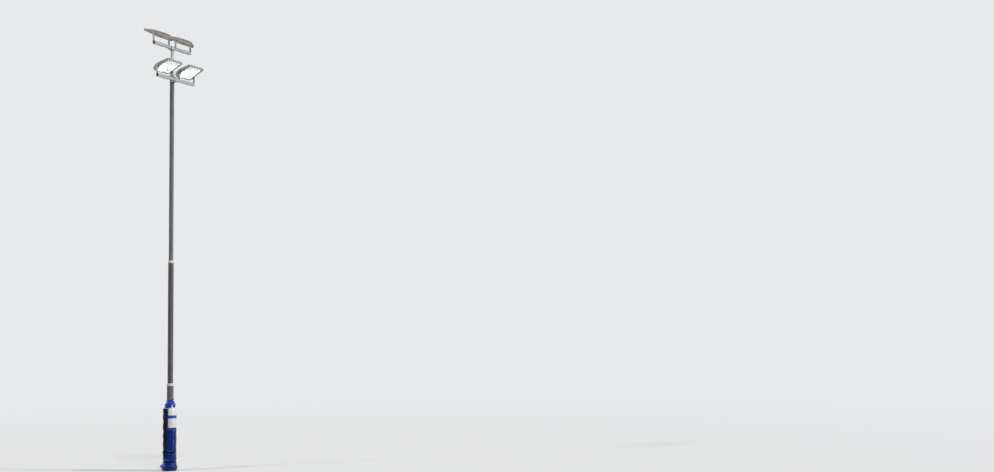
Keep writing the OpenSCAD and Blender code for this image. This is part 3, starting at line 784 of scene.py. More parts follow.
# Seal between the frame and the glass, seen round the opening
opening_x, opening_y, opening_middle = 0.500, 0.450, 0.105
bm = bmesh.new()
for grow, z, size in ((0.0, -0.0372, 0.0019), (-0.004, -0.0364, 0.0013)):
    outline = rounded_outline(opening_x + grow, opening_y + grow, 0.014)
    round_bar(bm, [(x, y + opening_middle, z) for x, y in outline], size, 8, True)
glass_seal = make_mesh("glass_seal", bm)

dress(lamp_frame, *(lamp + "_glass_frame" for lamp in lamps))
fit_on_lamps(("frame_clips", frame_clips, plating, "plated_bolts"),
             ("frame_screws", frame_screws, plating, "plated_bolts"),
             ("glass_seal", glass_seal, rubber, "cap_plastic"))


# Front glasses: flat toughened glass, faintly green, with a film of dust that dulls it in patches.
# Shadow rays pass straight through, so that the reflector behind stays lit.

front_glass, tree, shader, place = start_finish(
    "Front glass", {"Roughness": 0.02, "IOR": 1.5, "Transmission Weight": 1.0, "Specular IOR Level": 0.5,
                    "Base Color": colour(240, 247, 245)})
clear = put(tree, "BsdfTransparent", {"Color": (0.94, 0.97, 0.96, 1.0)})
in_shadow = put(tree, "LightPath").outputs["Is Shadow Ray"]
both = put(tree, "MixShader", {0: in_shadow, 1: shader.outputs[0], 2: clear.outputs[0]})
tree.links.new(both.outputs[0], tree.nodes["Material Output"].inputs["Surface"])
dust = spread(tree, noise(tree, place, 14.0, 6.0, 0.7), 0.45, 0.8, 0.02, 0.12)
tree.links.new(dust, shader.inputs["Roughness"])
dress(front_glass, *(lamp + "_glass" for lamp in lamps))


# Foot pad: a thick foam tube round the mast, which shows only from below. Its cover is one sleeve
# of royal-blue coated cloth, loose enough to crease where the foam has sunk.

foam, tree, shader, place = start_finish("Grey foam", {"Roughness": 0.95, "Specular IOR Level": 0.1})
pores = cells(tree, place, 260.0)
# The pores are painted darker where the bump sinks them: painted shade.
coats(tree, shader, mix_colour(tree, spread(tree, pores, 0.1, 0.6), (70, 72, 76), (104, 105, 108)))
relief(tree, shader, pores, 0.0015, 0.8)

pad_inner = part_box("base_tube")[1].x
pad_foot, pad_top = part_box("pad_body")[0].z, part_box("pad_body")[1].z
pad_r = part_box("pad_body")[1].x
hood_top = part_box("pad_hood")[1].z
hem_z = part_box("pad_skirt")[0].z
foam_bore = pad_inner + 0.0005
sunk_top, sunk_r, firm_r = 0.52, pad_r - 0.046, pad_r - 0.031
bm = bmesh.new()
turned(bm, [(foam_bore, pad_foot), (pad_r - 0.033, pad_foot), (pad_r - 0.027, pad_foot + 0.006),
            (pad_r - 0.027, pad_foot + 0.03), (sunk_r, pad_foot + 0.07), (sunk_r, sunk_top),
            (firm_r, sunk_top + 0.08), (firm_r, pad_top - 0.06), (pad_r - 0.020, pad_top - 0.02),
            (pad_r - 0.032, pad_top - 0.004), (foam_bore, pad_top - 0.004), (foam_bore, pad_foot)], 72)
add_piece("pad_foam", bm, foam)

# Coated cloth: a woven scrim under smooth plastic, hairline creases, scuffs, and soil near the ground
coated_cloth, given, give = start_group(
    "Coated cloth", [("Place", "Vector", (0, 0, 0)), ("Thread", "Float", 0.0016)],
    [("Weave", "Float"), ("Creasing", "Float"), ("Scuffs", "Float"), ("Soil", "Float")])
across, deep, up = put(coated_cloth, "SeparateXYZ", {0: given["Place"]}).outputs
girth = sums(coated_cloth, "MULTIPLY", sums(coated_cloth, "ARCTAN2", deep, across), 0.1575)
per_thread = sums(coated_cloth, "DIVIDE", 6.2832, given["Thread"])
warp, weft = (sums(coated_cloth, "SINE", sums(coated_cloth, "MULTIPLY", run, per_thread))
              for run in (girth, up))
give("Weave", sums(coated_cloth, "MULTIPLY", warp, weft))
stretched = vectors(coated_cloth, "MULTIPLY", given["Place"], (1.0, 1.0, 1.7))
give("Creasing", noise(coated_cloth, stretched, 26.0, 5.0, 0.5, 0.6))
give("Scuffs", spread(coated_cloth, noise(coated_cloth, given["Place"], 34.0, 7.0, 0.75), 0.58, 0.72))
splashes = spread(coated_cloth, noise(coated_cloth, given["Place"], 95.0, 8.0, 0.75), 0.44, 0.66)
give("Soil", sums(coated_cloth, "MULTIPLY", spread(coated_cloth, up, 0.17, 0.0), splashes))


def cloth_finish(name, light, dark, rough, shine, gloss=(255, 255, 255)):
    """Coated cloth in one colour, with painted shade in the valleys of its fine creasing and painted light
    on its ridges. Lighter where it is scuffed, soiled towards the ground.
    """
    made, tree, shader, place = start_finish(
        name, {"Specular IOR Level": shine, "Specular Tint": colour(*gloss), "Coat Weight": 0.03,
               "Coat Roughness": 0.12})
    cloth = use_group(tree, coated_cloth, {"Place": place, "Thread": 0.0016})
    pale = tuple(min(255, int(c * 0.92 + 18)) for c in light)
    # Dark to light follows the creasing's height, which paints shade into its valleys and light onto its
    # ridges.
    coats(tree, shader, mix_colour(tree, spread(tree, cloth["Creasing"], 0.35, 0.65), dark, light),
          (cloth["Scuffs"], 0.28, pale), (cloth["Soil"], 0.42, (84, 80, 60)))
    roughen(tree, shader, sums(tree, "ADD", cloth["Scuffs"], cloth["Soil"]), rough, rough + 0.25, most=1.2)
    woven = sums(tree, "MULTIPLY", cloth["Weave"], 0.06)
    relief(tree, shader, sums(tree, "ADD", woven, cloth["Creasing"]), 0.0035, 0.55)
    return made


pad_blue = cloth_finish("Royal blue cover", (2, 36, 108), (0, 27, 90), 0.18, 0.42, (136, 172, 255))
# The hood and the loose corner take a lighter copy of the cover's blue: painted light where they face up.
painted_lit_blue = cloth_finish("Royal blue, painted lit", (6, 62, 186), (2, 42, 148), 0.16, 0.80, (158, 186, 255))
pad_black = cloth_finish("Black flap", (5, 5, 9), (3, 3, 6), 0.30, 0.07, (170, 180, 255))
panel_white = cloth_finish("White panel", (224, 222, 221), (216, 214, 213), 0.36, 0.4)

# The sleeve as cut is a grid of points: rows from the hem on the ground up to the gathered rim,
# each with as many columns round the mast. Rows lie closer where it creases.
skirt_rows, columns = 12, 112
rows = np.concatenate([np.linspace(hem_z + 0.002, pad_foot, skirt_rows, endpoint=False),
                       np.linspace(pad_foot, 0.58, 80, endpoint=False),
                       np.linspace(0.58, pad_top - 0.06, 74, endpoint=False),
                       np.linspace(pad_top - 0.06, hood_top, 54)])
turn = np.arange(columns) * 2 * np.pi / columns
grid_turn, grid_z = np.meshgrid(turn, rows)

# Its radius before any crease, from the hem through the foam's edges to the pinched neck and the rim
pinch_z = hood_top - 0.033
skirt_shape = [(hem_z, 0.164), (0.018, 0.173), (0.045, 0.183), (0.080, 0.188), (0.108, 0.184),
               (pad_foot, 0.174)]
body_shape = [(pad_foot + 0.04, 0.1580), (0.24, 0.1560), (pad_top - 0.05, 0.1565), (pad_top - 0.015, 0.1535)]
hood_shape = [(pad_top + rise, r) for rise, r in (
    (0.015, 0.1400), (0.045, 0.1270), (0.060, 0.1215), (0.080, 0.1265), (0.110, 0.1270), (0.145, 0.1255),
    (0.166, 0.1190), (0.190, 0.1010), (0.212, 0.0880))]
rim_shape = [(pinch_z, 0.0835), (hood_top - 0.018, 0.0855), (hood_top, 0.0895)]
shape_z, shape_r = zip(*skirt_shape, *body_shape, *hood_shape, *rim_shape)
fine_z = np.linspace(hem_z, hood_top, 700)
blur = np.hanning(21)[1:-1] / np.hanning(21).sum()
half_blur = len(blur) // 2
fine_r = np.pad(np.interp(fine_z, shape_z, shape_r), half_blur, mode="edge")
fine_r = np.convolve(fine_r, blur, "same")[half_blur:-half_blur]
radius = np.tile(np.interp(rows, fine_z, fine_r)[:, None], (1, columns))


def round_knots(*knots):
    """A value for each column, in a line through (degrees, value) knots that go once round."""
    angles = np.array([a for a, _ in knots]) % 360
    order = np.argsort(angles)
    angles, values = angles[order], np.array([v for _, v in knots], float)[order]
    angles = np.concatenate([angles - 360, angles, angles + 360])
    return np.interp(np.degrees(turn), angles, np.tile(values, 3))


def soften(values, width):
    """Rounds off the corners in a line of values that goes once round."""
    kernel = np.hanning(width + 2)[1:-1]
    return np.convolve(np.tile(values, 3), kernel / kernel.sum(), "same")[len(values):2 * len(values)]


# Creases round the pad, each by its height, its depth and its width: two deep ones where the foam
# has sunk, two slighter ones near them, and two in the hood
creases = [
    (round_knots((130, 0.515), (164, 0.497), (186, 0.462), (209, 0.438), (240, 0.428), (297, 0.412),
                 (10, 0.43), (75, 0.49)),
     round_knots((130, 0.016), (164, 0.034), (209, 0.041), (240, 0.026), (297, 0.014), (10, 0.006),
                 (75, 0.010)), 0.036),
    (round_knots((120, 0.262), (155, 0.250), (185, 0.226), (219, 0.210), (262, 0.222), (300, 0.246),
                 (30, 0.235), (80, 0.25)),
     round_knots((120, 0.014), (155, 0.034), (219, 0.037), (262, 0.015), (300, 0.019), (30, 0.006),
                 (80, 0.008)), 0.033),
    (round_knots((140, 0.200), (178, 0.164), (219, 0.118), (260, 0.100), (20, 0.12), (80, 0.17)),
     round_knots((140, 0.006), (178, 0.015), (219, 0.012), (250, 0.0), (20, 0.0), (90, 0.0)), 0.022),
    (round_knots((125, 0.345), (150, 0.345), (200, 0.330), (280, 0.33), (30, 0.34)),
     round_knots((118, 0.010), (150, 0.007), (185, 0.0), (280, 0.0), (30, 0.0), (90, 0.003)), 0.024),
    (round_knots((130, 1.530), (200, 1.542), (300, 1.546), (20, 1.538)),
     round_knots((130, 0.006), (200, 0.012), (300, 0.012), (20, 0.005)), 0.022),
    (round_knots((130, 1.596), (170, 1.606), (205, 1.616), (240, 1.634), (275, 1.648), (310, 1.652),
                 (20, 1.63), (75, 1.60)),
     round_knots((130, 0.012), (175, 0.019), (215, 0.022), (255, 0.020), (300, 0.014), (20, 0.006),
                 (75, 0.008)), 0.026),
]
valley = np.zeros_like(radius)
for level, depth, width in creases:
    level, depth = soften(level, 9), soften(depth, 7)
    t = (grid_z - level) / width
    above, below = 0.42 * np.exp(-((t - 0.95) / 0.62) ** 2), 0.26 * np.exp(-((t + 1.0) / 0.7) ** 2)
    radius += depth * (above + below - np.exp(-(t / 0.36) ** 2))
    valley = np.maximum(valley, np.exp(-(t / 0.42) ** 2) * np.clip(depth / 0.014, 0, 1))

# Loose flutes in the skirt
dice = np.random.default_rng(11)
waves = ((3, 0.5), (5, 0.8), (8, 0.5), (13, 0.25))
flutes = sum(a * np.sin(k * turn + dice.uniform(0, 6.28)) for k, a in waves)
radius += np.clip((pad_foot - grid_z) / (pad_foot - hem_z), 0, 1) ** 1.3 * 0.0075 * flutes

# Pleats that close the neck, sharper in their valleys, with small ones between them, and the slump of
# the hood above the foam
warped = turn + 0.11 * np.sin(2 * turn + 1.0) + 0.07 * np.sin(5 * turn + 2.0)
pleats = np.abs(np.sin(9.5 * warped + 0.6 * np.sin(3 * turn))) ** 0.8 - 0.55
small_pleats = np.sin(23 * warped + 1.7) * 0.5
gather = np.clip((grid_z - (pad_top + 0.02)) / (hood_top - pad_top - 0.05), 0, 1)
tight = 1 - 0.7 * np.exp(-((grid_z - pinch_z) / 0.012) ** 2) - 0.35 * (grid_z > pinch_z)
radius += gather ** 1.2 * 0.0115 * tight * pleats * (0.75 + 0.25 * np.sin(turn * 3))
radius += np.clip(gather * 1.4 - 0.4, 0, 1) * 0.003 * small_pleats
slump = 0.0045 + 0.004 * np.sin(turn * 4 + 0.8) + 0.003 * np.sin(turn * 7)
radius += np.exp(-((grid_z - (pad_top + 0.115)) / 0.045) ** 2) * slump

# The foam's faint swells under the body, and the rim's wave and slant
swell = 0.0012 * np.sin(grid_z * 21 + 2 * np.sin(grid_turn * 2))
swell *= np.clip((grid_z - 0.2) / 0.1, 0, 1) * np.clip((pad_top - grid_z) / 0.1, 0, 1)
radius = np.maximum(radius + swell, pad_inner + 0.004)
rim_wave = 0.005 * np.sin(3 * turn + 0.4) + 0.003 * np.sin(7 * turn + 1.3)
rim_slant = 0.021 * (np.cos(turn - math.radians(305)) - 1)
heights = grid_z + gather ** 2 * (rim_wave - 0.006 + rim_slant)
cover_points = np.stack([radius * np.cos(grid_turn), radius * np.sin(grid_turn), heights], -1)


def grid_mesh(name, points, closed_round=True):
    """A mesh of rows of points, joined round its columns."""
    count_rows, count_columns = points.shape[:2]
    index = np.arange(count_rows * count_columns).reshape(count_rows, count_columns)
    after = np.roll(index, -1, axis=1)
    last = count_columns if closed_round else count_columns - 1
    faces = np.stack([index[:-1, :last], after[:-1, :last], after[1:, :last], index[1:, :last]], -1)
    mesh = bpy.data.meshes.new(name)
    mesh.from_pydata(points.reshape(-1, 3).tolist(), [], faces.reshape(-1, 4).tolist())
    mesh.update()
    return mesh


def relax_cloth(points, held, slack, frames=22, most=0.012):
    """Settles the sleeve as real cloth: pressed out by the foam, held at its seams, slack to crease."""
    mesh = grid_mesh("sleeve_as_cut", points)
    sleeve = bpy.data.objects.new("sleeve_as_cut", mesh)
    scene = bpy.context.scene
    scene.collection.objects.link(sleeve)
    for label, weights in (("held", held), ("slack", slack)):
        group = sleeve.vertex_groups.new(name=label)
        for i, weight in enumerate(weights.reshape(-1).tolist()):
            if weight > 0.01:
                group.add([i], weight, "REPLACE")
    cloth = sleeve.modifiers.new("Cloth", "CLOTH")
    for key, value in {"quality": 7, "mass": 0.25, "tension_stiffness": 22, "compression_stiffness": 22,
                       "shear_stiffness": 9, "bending_stiffness": 1.4, "air_damping": 2.5,
                       "use_pressure": True, "uniform_pressure_force": 1.6,
                       "vertex_group_mass": "held", "pin_stiffness": 1.2,
                       "vertex_group_shrink": "slack", "shrink_min": 0.0, "shrink_max": -0.07}.items():
        setattr(cloth.settings, key, value)
    cloth.settings.effector_weights.gravity = 0.25
    cloth.collision_settings.use_collision = False
    scene.frame_start, scene.frame_end = 1, frames
    cloth.point_cache.frame_start, cloth.point_cache.frame_end = 1, frames
    for step in range(1, frames + 1):
        scene.frame_set(step)
    shown = sleeve.evaluated_get(bpy.context.evaluated_depsgraph_get())
    moved = np.empty(len(mesh.vertices) * 3)
    shown.data.vertices.foreach_get("co", moved)
    moved = moved.reshape(points.shape)
    scene.frame_set(1)
    bpy.data.objects.remove(sleeve)
    step = moved - points
    far = np.linalg.norm(step, axis=-1, keepdims=True)
    return points + step * np.minimum(1, most / np.maximum(far, 1e-9))


lacing_side, seam_z = 130, 1.0
# Held at the hem, the foam's edge, the rim, the pinched neck, the creases, the middle seam and the lacing
held = valley * 0.75
held[0, :] = np.maximum(held[0, :], 0.25)
held[skirt_rows - 1:skirt_rows + 1, :] = 0.7
held[-3:, :] = 1.0
held = np.maximum(held, np.exp(-((grid_z - pinch_z) / 0.006) ** 2))
held[np.abs(rows - seam_z).argmin(), :] = 0.5
laced = np.exp(-((np.degrees(grid_turn) - lacing_side) / 7) ** 2) * (grid_z > 0.3) * (grid_z < pad_top)
held = np.maximum(held, 0.6 * laced)
# Slack where it creases, near the two deep creases, in the hood and the skirt, and a little all over
slack = np.clip(valley * 1.2, 0, 1)
for level, depth, width in creases[:2]:
    slack = np.maximum(slack, np.exp(-((grid_z - level) / 0.07) ** 2) * 0.8)
slack = np.maximum(slack, np.clip(gather * 1.6, 0, 0.9))
slack = np.maximum(slack, np.clip((pad_foot + 0.02 - grid_z) / 0.06, 0, 0.6))
cover_points = relax_cloth(cover_points, held, np.maximum(slack, 0.10))

push = np.maximum(pad_inner + 0.003 - np.hypot(cover_points[..., 0], cover_points[..., 1]), 0)
cover_points[..., 0] += push * np.cos(grid_turn)
cover_points[..., 1] += push * np.sin(grid_turn)


def cloth_piece(name, points, finish, thick=0.0, closed_round=True, fine=1):
    """A piece of cloth from rows of points, rounded off, and given its thickness."""
    made = place_piece(name, grid_mesh(name, points, closed_round), finish, "mast", 180)
    smooth = made.modifiers.new("Round off", "SUBSURF")
    smooth.levels = smooth.render_levels = fine
    if thick:
        solid = made.modifiers.new("Thickness", "SOLIDIFY")
        solid.thickness, solid.offset = thick, -1.0
    return made


top_row = int(np.abs(rows - pad_top).argmin())
pad_cover = cloth_piece("pad_cover", cover_points[skirt_rows:top_row + 1], pad_blue)
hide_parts("pad_body")


# Hood: the top of the sleeve stands above the foam as a loose neck, gathered to the mast in pleats
# by a cord inside its rolled rim. It is the same coated cloth, single, given a lighter blue than the
# body as painted light on its upturned shoulders.

rim = cover_points[-1]
rim_r = np.hypot(rim[:, 0], rim[:, 1])[:, None]
rolled = []
for turn_over in np.linspace(0.4, 4.2, 8):
    out, up = 0.0021 * (1 - np.cos(turn_over)), 0.0030 * np.sin(turn_over) - 0.002
    rolled.append(np.concatenate([rim[:, :2] * (rim_r + out) / rim_r, rim[:, 2:] + up], 1))
hood_points = np.concatenate([cover_points[top_row:], rolled])
pad_hood = cloth_piece("pad_hood_cloth", hood_points, painted_lit_blue, 0.0014)
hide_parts("pad_hood")


# Skirt: the sleeve's lower end hangs below the foam, flares over the ground and ends in a hem.
# One corner has come loose beside the lacing and sticks out in a point.

pad_skirt = cloth_piece("pad_skirt_cloth", cover_points[:skirt_rows + 1], pad_blue, 0.0016)
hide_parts("pad_skirt")

hem_r = 0.0026
bm = bmesh.new()
round_bar(bm, [(x * 1.004, y * 1.004, max(z, hem_z) + 0.003) for x, y, z in cover_points[0]], hem_r, 8, True)
add_piece("pad_skirt_hem", bm, pad_blue, 60)

cover_faces = [tuple(face.vertices) for face in grid_mesh("probe", cover_points).polygons]
cover_tree = BVHTree.FromPolygons(cover_points.reshape(-1, 3).tolist(), cover_faces)


def on_cover(degrees, z, lift=0.0):
    """The point of the cover in one direction from the mast's axis at a height, lifted off it."""
    way = around(1, math.radians(degrees))
    hit = cover_tree.ray_cast(Vector((0, 0, z)) + way * 0.3, -way, 0.3)[0]
    r = hit.xy.length if hit else pad_r
    return way * (r + lift) + Vector((0, 0, z))


# The loose corner: the end of the sleeve's overlap, which runs out of a pleat into a doubled tongue.
# It follows the cover from one direction to another, and then curls away from it.
attached, free, tongue_half = 0.086, 0.112, 0.037
leaves_from, leaves_at = 199, 167
steps_along, steps_across = 44, 13
step_long = (attached + free) / (steps_along - 1)
tongue = np.zeros((steps_along, steps_across, 3))
for i in range(steps_along):
    run = step_long * i
    share = run / (attached + free)
    loose = max(0.0, run - attached) / free
    opened = min(1.0, share / 0.42)
    opened = opened * opened * (3 - 2 * opened)
    half = tongue_half * (1 - max(0.0, (share - 0.72) / 0.284) ** 2.3) ** (1 / 2.3) * (0.10 + 0.90 * opened)
    level = 0.143 - 0.016 * opened
    if run <= attached:
        degrees = leaves_from + (leaves_at - leaves_from) * run / attached
        spot, heading = on_cover(degrees, level), math.radians(degrees - 90)
    else:
        heading += math.radians(34) * step_long / free
        spot = spot + around(1, heading) * step_long
    out = Vector((math.sin(heading), -math.cos(heading), 0))
    for j in range(steps_across):
        u = 2 * j / (steps_across - 1) - 1
        z = level - 0.008 * loose ** 2 + half * u + 0.003 * loose * math.sin(4 * u + 3 * loose)
        cup = (1 - u * u) * half / tongue_half
        puff = 0.0045 + 0.008 * opened * cup
        if run <= attached:
            tongue[i, j] = on_cover(degrees, z, puff - 0.010 * max(0.0, 1 - 4 * share))
        else:
            puff += loose * (0.008 * cup - 0.004) - 0.010 * loose ** 2 * max(0.0, -u) * half / tongue_half
            p = spot - out * puff
            bulge = (on_cover(leaves_at, z) - on_cover(leaves_at, level)) * max(0.0, 1 - 2.2 * loose)
            tongue[i, j] = (p.x + bulge.x, p.y + bulge.y, z)
# The tongue is in the hood's lighter blue, as painted light on its upturned face.
corner = cloth_piece("pad_loose_corner", tongue, painted_lit_blue, 0.0036, False, 2)
bm = bmesh.new()
round_bar(bm, [*tongue[5:, 0], *tongue[-1, 4:9:4], *tongue[:4:-1, -1]], 0.0028, 8)
add_piece("pad_loose_corner_hem", bm, painted_lit_blue, 60)


# Lacing: the sleeve closes down one side under a black flap. Its edge is held at the eyelets and
# bows out between them, and a pale cord laces it and ends in a knot at the top and at the foot.

eyelet_z = (0.337, 0.536, 0.760, 0.960, 1.197, 1.396)
flap_from, flap_to, flap_bows = 134.0, 186.0, 17.0
flap_low, strip_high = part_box("pad_lacing_strip")[0].z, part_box("pad_lacing_strip")[1].z
flap_high = strip_high + 0.03
flap_z = np.linspace(flap_low, flap_high, 150)
flap_turn = np.linspace(flap_from, flap_to, 15)
between = np.interp(flap_z, [flap_low - 0.1, *eyelet_z, strip_high + 0.1], range(8))
bowed = np.sin(np.pi * (between % 1)) ** 1.3
flap = np.zeros((len(flap_z), len(flap_turn), 3))
for i, z in enumerate(flap_z):
    for j, degrees in enumerate(flap_turn):
        near = max(0.0, 1 - (degrees - flap_from) / flap_bows) ** 1.6 * bowed[i]
        lift = 0.0026 + 0.0125 * near + 0.0012 * math.sin(z * 60 + degrees * 0.2) * (degrees > 140)
        flap[i, j] = on_cover(degrees - 2.0 * near, z, lift)
lacing_flap = cloth_piece("pad_lacing_flap", flap, pad_black, 0.0018, False)
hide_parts("pad_lacing_strip")

cord_weave, tree, shader, place = start_finish("Pale cord", {"Roughness": 0.8, "Specular IOR Level": 0.25})
braid = cells(tree, place, 620.0)
coats(tree, shader, mix_colour(tree, spread(tree, braid, 0.1, 0.6), (243, 242, 237), (216, 213, 204)))
relief(tree, shader, braid, 0.0008, 0.8)


def smooth_path(points, per):
    """A smooth run through points, with so many steps from each to the next."""
    points = [Vector(p) for p in points]
    ends = [points[0] * 2 - points[1], *points, points[-1] * 2 - points[-2]]
    run = []
    for a, b, c, d in zip(ends, ends[1:], ends[2:], ends[3:]):
        for t in [k / per for k in range(per)]:
            run.append(0.5 * ((2 * b) + (c - a) * t + (2 * a - 5 * b + 4 * c - d) * t * t
                              + (3 * b - a - 3 * c + d) * t * t * t))
    return run + [points[-1]]


# Brass eyelets along the flap's edge, and along the sleeve beside it
brass, tree, shader, place = start_finish("Brass eyelet", {"Metallic": 1.0})
tarnish = spread(tree, noise(tree, place, 240.0), 0.4, 0.65)
coats(tree, shader, mix_colour(tree, tarnish, (196, 164, 96), (120, 96, 58)))
roughen(tree, shader, tarnish, 0.25, 0.55)
flap_side, sleeve_side = 137.5, 124.0
bm = bmesh.new()
for z in eyelet_z:
    for degrees, lift in ((flap_side, 0.0042), (sleeve_side, 0.0006)):
        out = Matrix.Rotation(math.radians(degrees), 4, "Z") @ Matrix.Rotation(math.pi / 2, 4, "Y")
        out = Matrix.Translation(on_cover(degrees, z, lift)) @ out
        turned(bm, [(0.0048, -0.0015), (0.0052, 0.0008), (0.0068, 0.0018), (0.0092, 0.0012),
                    (0.0098, 0.0), (0.0092, -0.0012), (0.0048, -0.0015)], 24, out)
add_piece("pad_eyelets", bm, brass, 60)

# The cord crosses from hole to hole at each pair of eyelets, doubled. Above the top pair and below
# the lowest its two strands run on to the knots.
lace_r, foot_knot_z = 0.0026, 0.205
bm = bmesh.new()
for z in eyelet_z:
    for shift, high in ((0.0024, 0.0), (-0.0024, 0.0012)):
        bar = [(sleeve_side, shift, -0.0035), (sleeve_side + 0.8, shift, 0.0040 + high),
               (128.0, shift * 0.8, 0.0065 + high), (132.5, shift, 0.0085 + high),
               (flap_side - 0.8, shift, 0.0080 + high), (flap_side, shift, -0.0005)]
        crossing = [on_cover(degrees, z + up, lift) for degrees, up, lift in bar]
        round_bar(bm, smooth_path(crossing, 6), lace_r, 8)
for side, high in ((130.3, 0.0), (132.4, 0.0015)):
    top_run = [(side, eyelet_z[-1], 0.0060 + high), (side, eyelet_z[-1] + 0.045, 0.0055 + high),
               (side, pad_top - 0.012, 0.0060 + high), (side, pad_top + 0.020, 0.0120 + high),
               (131, pad_top + 0.042, 0.0200)]
    round_bar(bm, smooth_path([on_cover(*point) for point in top_run], 6), lace_r, 8)
    foot_run = zip(np.linspace(side, 132, 13), np.linspace(eyelet_z[0], foot_knot_z + 0.001, 13))
    round_bar(bm, smooth_path([on_cover(degrees, z, 0.0052 + high) for degrees, z in foot_run], 3), lace_r, 8)
add_piece("pad_lace", bm, cord_weave, 80)


def overhand(middle, across, up, out, size, wave, depth, count):
    """The path of a simple knot, drawn round a middle in three directions."""
    return [middle + (across * math.cos(2 * a) + up * math.sin(2 * a)) * (size + wave * math.cos(3 * a))
            + out * depth * math.sin(3 * a) for a in round_the_clock(count)]


def tie(name, knot, loops, ends, thick):
    """A tie where the lacing stops: its knot, any loops, and its free ends, each a cord of its own."""
    x_way, y_way, z_way = Vector((1, 0, 0)), Vector((0, 1, 0)), Vector((0, 0, 1))
    out = Vector((knot.x, knot.y, 0)).normalized()
    bm = bmesh.new()
    wrap = overhand(knot, z_way.cross(out), z_way, out, thick * 1.15, thick * 0.35, thick * 0.75, 72)
    round_bar(bm, wrap, thick * 0.56, 8, True)
    for reach, width in loops:
        side = reach.cross(out).normalized()
        loop = []
        for a in round_the_clock(28):
            along = (1 - math.cos(a)) / 2
            sideways = side * width / 2 * math.sin(a) * (0.35 + 0.65 * along)
            loop.append(knot + reach * along + sideways + out * 0.003 * math.sin(2 * a)
                        - z_way * 0.006 * math.sin(math.pi * along))
        round_bar(bm, loop, thick / 2, 8, True)
    add_piece(name + "_knot", bm, cord_weave, 80)
    for k, (run, stop) in enumerate(ends):
        path = smooth_path([knot + out * thick * 0.4, *run], 6)
        stops = []
        if stop == "knot":
            bm = bmesh.new()
            lump = overhand(path[-2], x_way, y_way, z_way, 0.00605, 0.00165, 0.0050, 60)
            round_bar(bm, lump, thick * 0.5, 8, True)
            stops = [add_piece(f"{name}_end_{k + 1}_stop", bm, cord_weave, 80)]
        bm = bmesh.new()
        round_bar(bm, path, thick / 2, 10)
        end = add_piece(f"{name}_end_{k + 1}", bm, cord_weave, 80)


top_knot = on_cover(131, pad_top + 0.046, 0.0230)
out = Vector((top_knot.x, top_knot.y, 0)).normalized()
across = Vector((0, 0, 1)).cross(out)


def from_knot(outwards, sideways, upwards):
    """A way from the top knot, off the mast, round it to the right, and up."""
    return out * outwards + across * sideways + Vector((0, 0, upwards))


tie("pad_top_tie", top_knot,
    [(from_knot(0.032, 0.012, -0.052), 0.030), (from_knot(0.024, 0.030, -0.030), 0.026),
     (from_knot(0.014, -0.030, -0.044), 0.028)],
    [([top_knot + from_knot(0.014, 0.0, -0.010), top_knot + from_knot(0.017, 0.0, -0.040),
       top_knot + from_knot(0.016, 0.004, -0.090)], "bare"),
     ([top_knot + from_knot(0.012, -0.008, -0.008), top_knot + from_knot(0.014, -0.014, -0.035),
       top_knot + from_knot(0.012, -0.016, -0.072)], "bare")], 0.0085)
tie("pad_foot_tie", on_cover(132, foot_knot_z, 0.0110), [],
    [([on_cover(136, 0.188, 0.013), on_cover(140, 0.160, 0.012), on_cover(143, 0.120, 0.009),
       on_cover(144, 0.080, 0.008), on_cover(144, 0.030, 0.015)], "knot"),
     ([on_cover(126, 0.192, 0.014), on_cover(118, 0.170, 0.024), on_cover(110, 0.130, 0.030),
       on_cover(108, 0.080, 0.022), on_cover(110, 0.036, 0.014)], "knot")], 0.0068)

# A black piping runs down the flap's sewn edge
bm = bmesh.new()
round_bar(bm, [on_cover(flap_to + 0.4, z, 0.0022) for z in np.linspace(flap_low, strip_high, 131)], 0.0026, 8)
add_piece("pad_flap_piping", bm, pad_black, 80)


# Seams: welts of piping where the sleeve's parts meet, and stitches in pale thread, a row on either
# side of the middle welt and two down the flap beside its sewn edge.

behind_flap, before_lacing = 187, 492
bm = bmesh.new()
for z, start, end, size, lift in (
        (seam_z, behind_flap, before_lacing, 0.0024, 0.0012),
        (pad_top - 0.004, behind_flap, 200, 0.0022, 0.0008),
        (pad_top - 0.004, 300, before_lacing, 0.0022, 0.0008),
        (pad_foot + 0.004, 0, 360, 0.0018, 0.0006)):
    whole = end - start == 360
    run = np.linspace(start, end, 120 if whole else 121, endpoint=not whole)
    round_bar(bm, [on_cover(degrees, z, lift) for degrees in run], size, 7, whole)
add_piece("pad_welts", bm, pad_blue, 80)

pale_thread, tree, shader, place = start_finish("Pale thread", {"Roughness": 0.7, "Specular IOR Level": 0.3})
coats(tree, shader, mix_colour(tree, noise(tree, place, 300.0), (186, 190, 200), (140, 146, 162)))


def stitch_row(bm, points, long=0.0042, gap=0.0030, thick=0.00055):
    """A row of stitches sunk at both ends, along a run of points."""
    points = [Vector(p) for p in points]
    lengths = [0.0]
    for a, b in zip(points, points[1:]):
        lengths.append(lengths[-1] + (b - a).length)

    def at(distance):
        i = min(max(np.searchsorted(lengths, distance) - 1, 0), len(points) - 2)
        span = max(lengths[i + 1] - lengths[i], 1e-9)
        return points[i].lerp(points[i + 1], (distance - lengths[i]) / span)

    begin = 0.0
    while begin + long < lengths[-1]:
        a, b = at(begin), at(begin + long)
        out = Vector((a.x, a.y, 0)).normalized()
        middle = (a + b) / 2 + out * 0.0005
        shoulders = [end.lerp(middle, 0.5) + out * 0.0002 for end in (a, b)]
        round_bar(bm, [a - out * 0.0006, shoulders[0], middle, shoulders[1], b - out * 0.0006], thick, 5)
        begin += long + gap


bm = bmesh.new()
for z in (seam_z + 0.008, seam_z - 0.008):
    stitch_row(bm, [on_cover(degrees, z, 0.0006) for degrees in np.linspace(behind_flap, before_lacing, 141)])
sewn_z = np.linspace(flap_low + 0.01, strip_high + 0.01, 161)
for degrees in (183.5, 180.0):
    stitch_row(bm, [on_cover(degrees, z, 0.0032) for z in sewn_z])
add_piece("pad_stitching", bm, pale_thread, 80)


# Bare panel: a white coated sheet sewn on the cover below the neck, with a folded border, one
# plain blue band across it and nothing written on it. A short tab holds its upper edge.

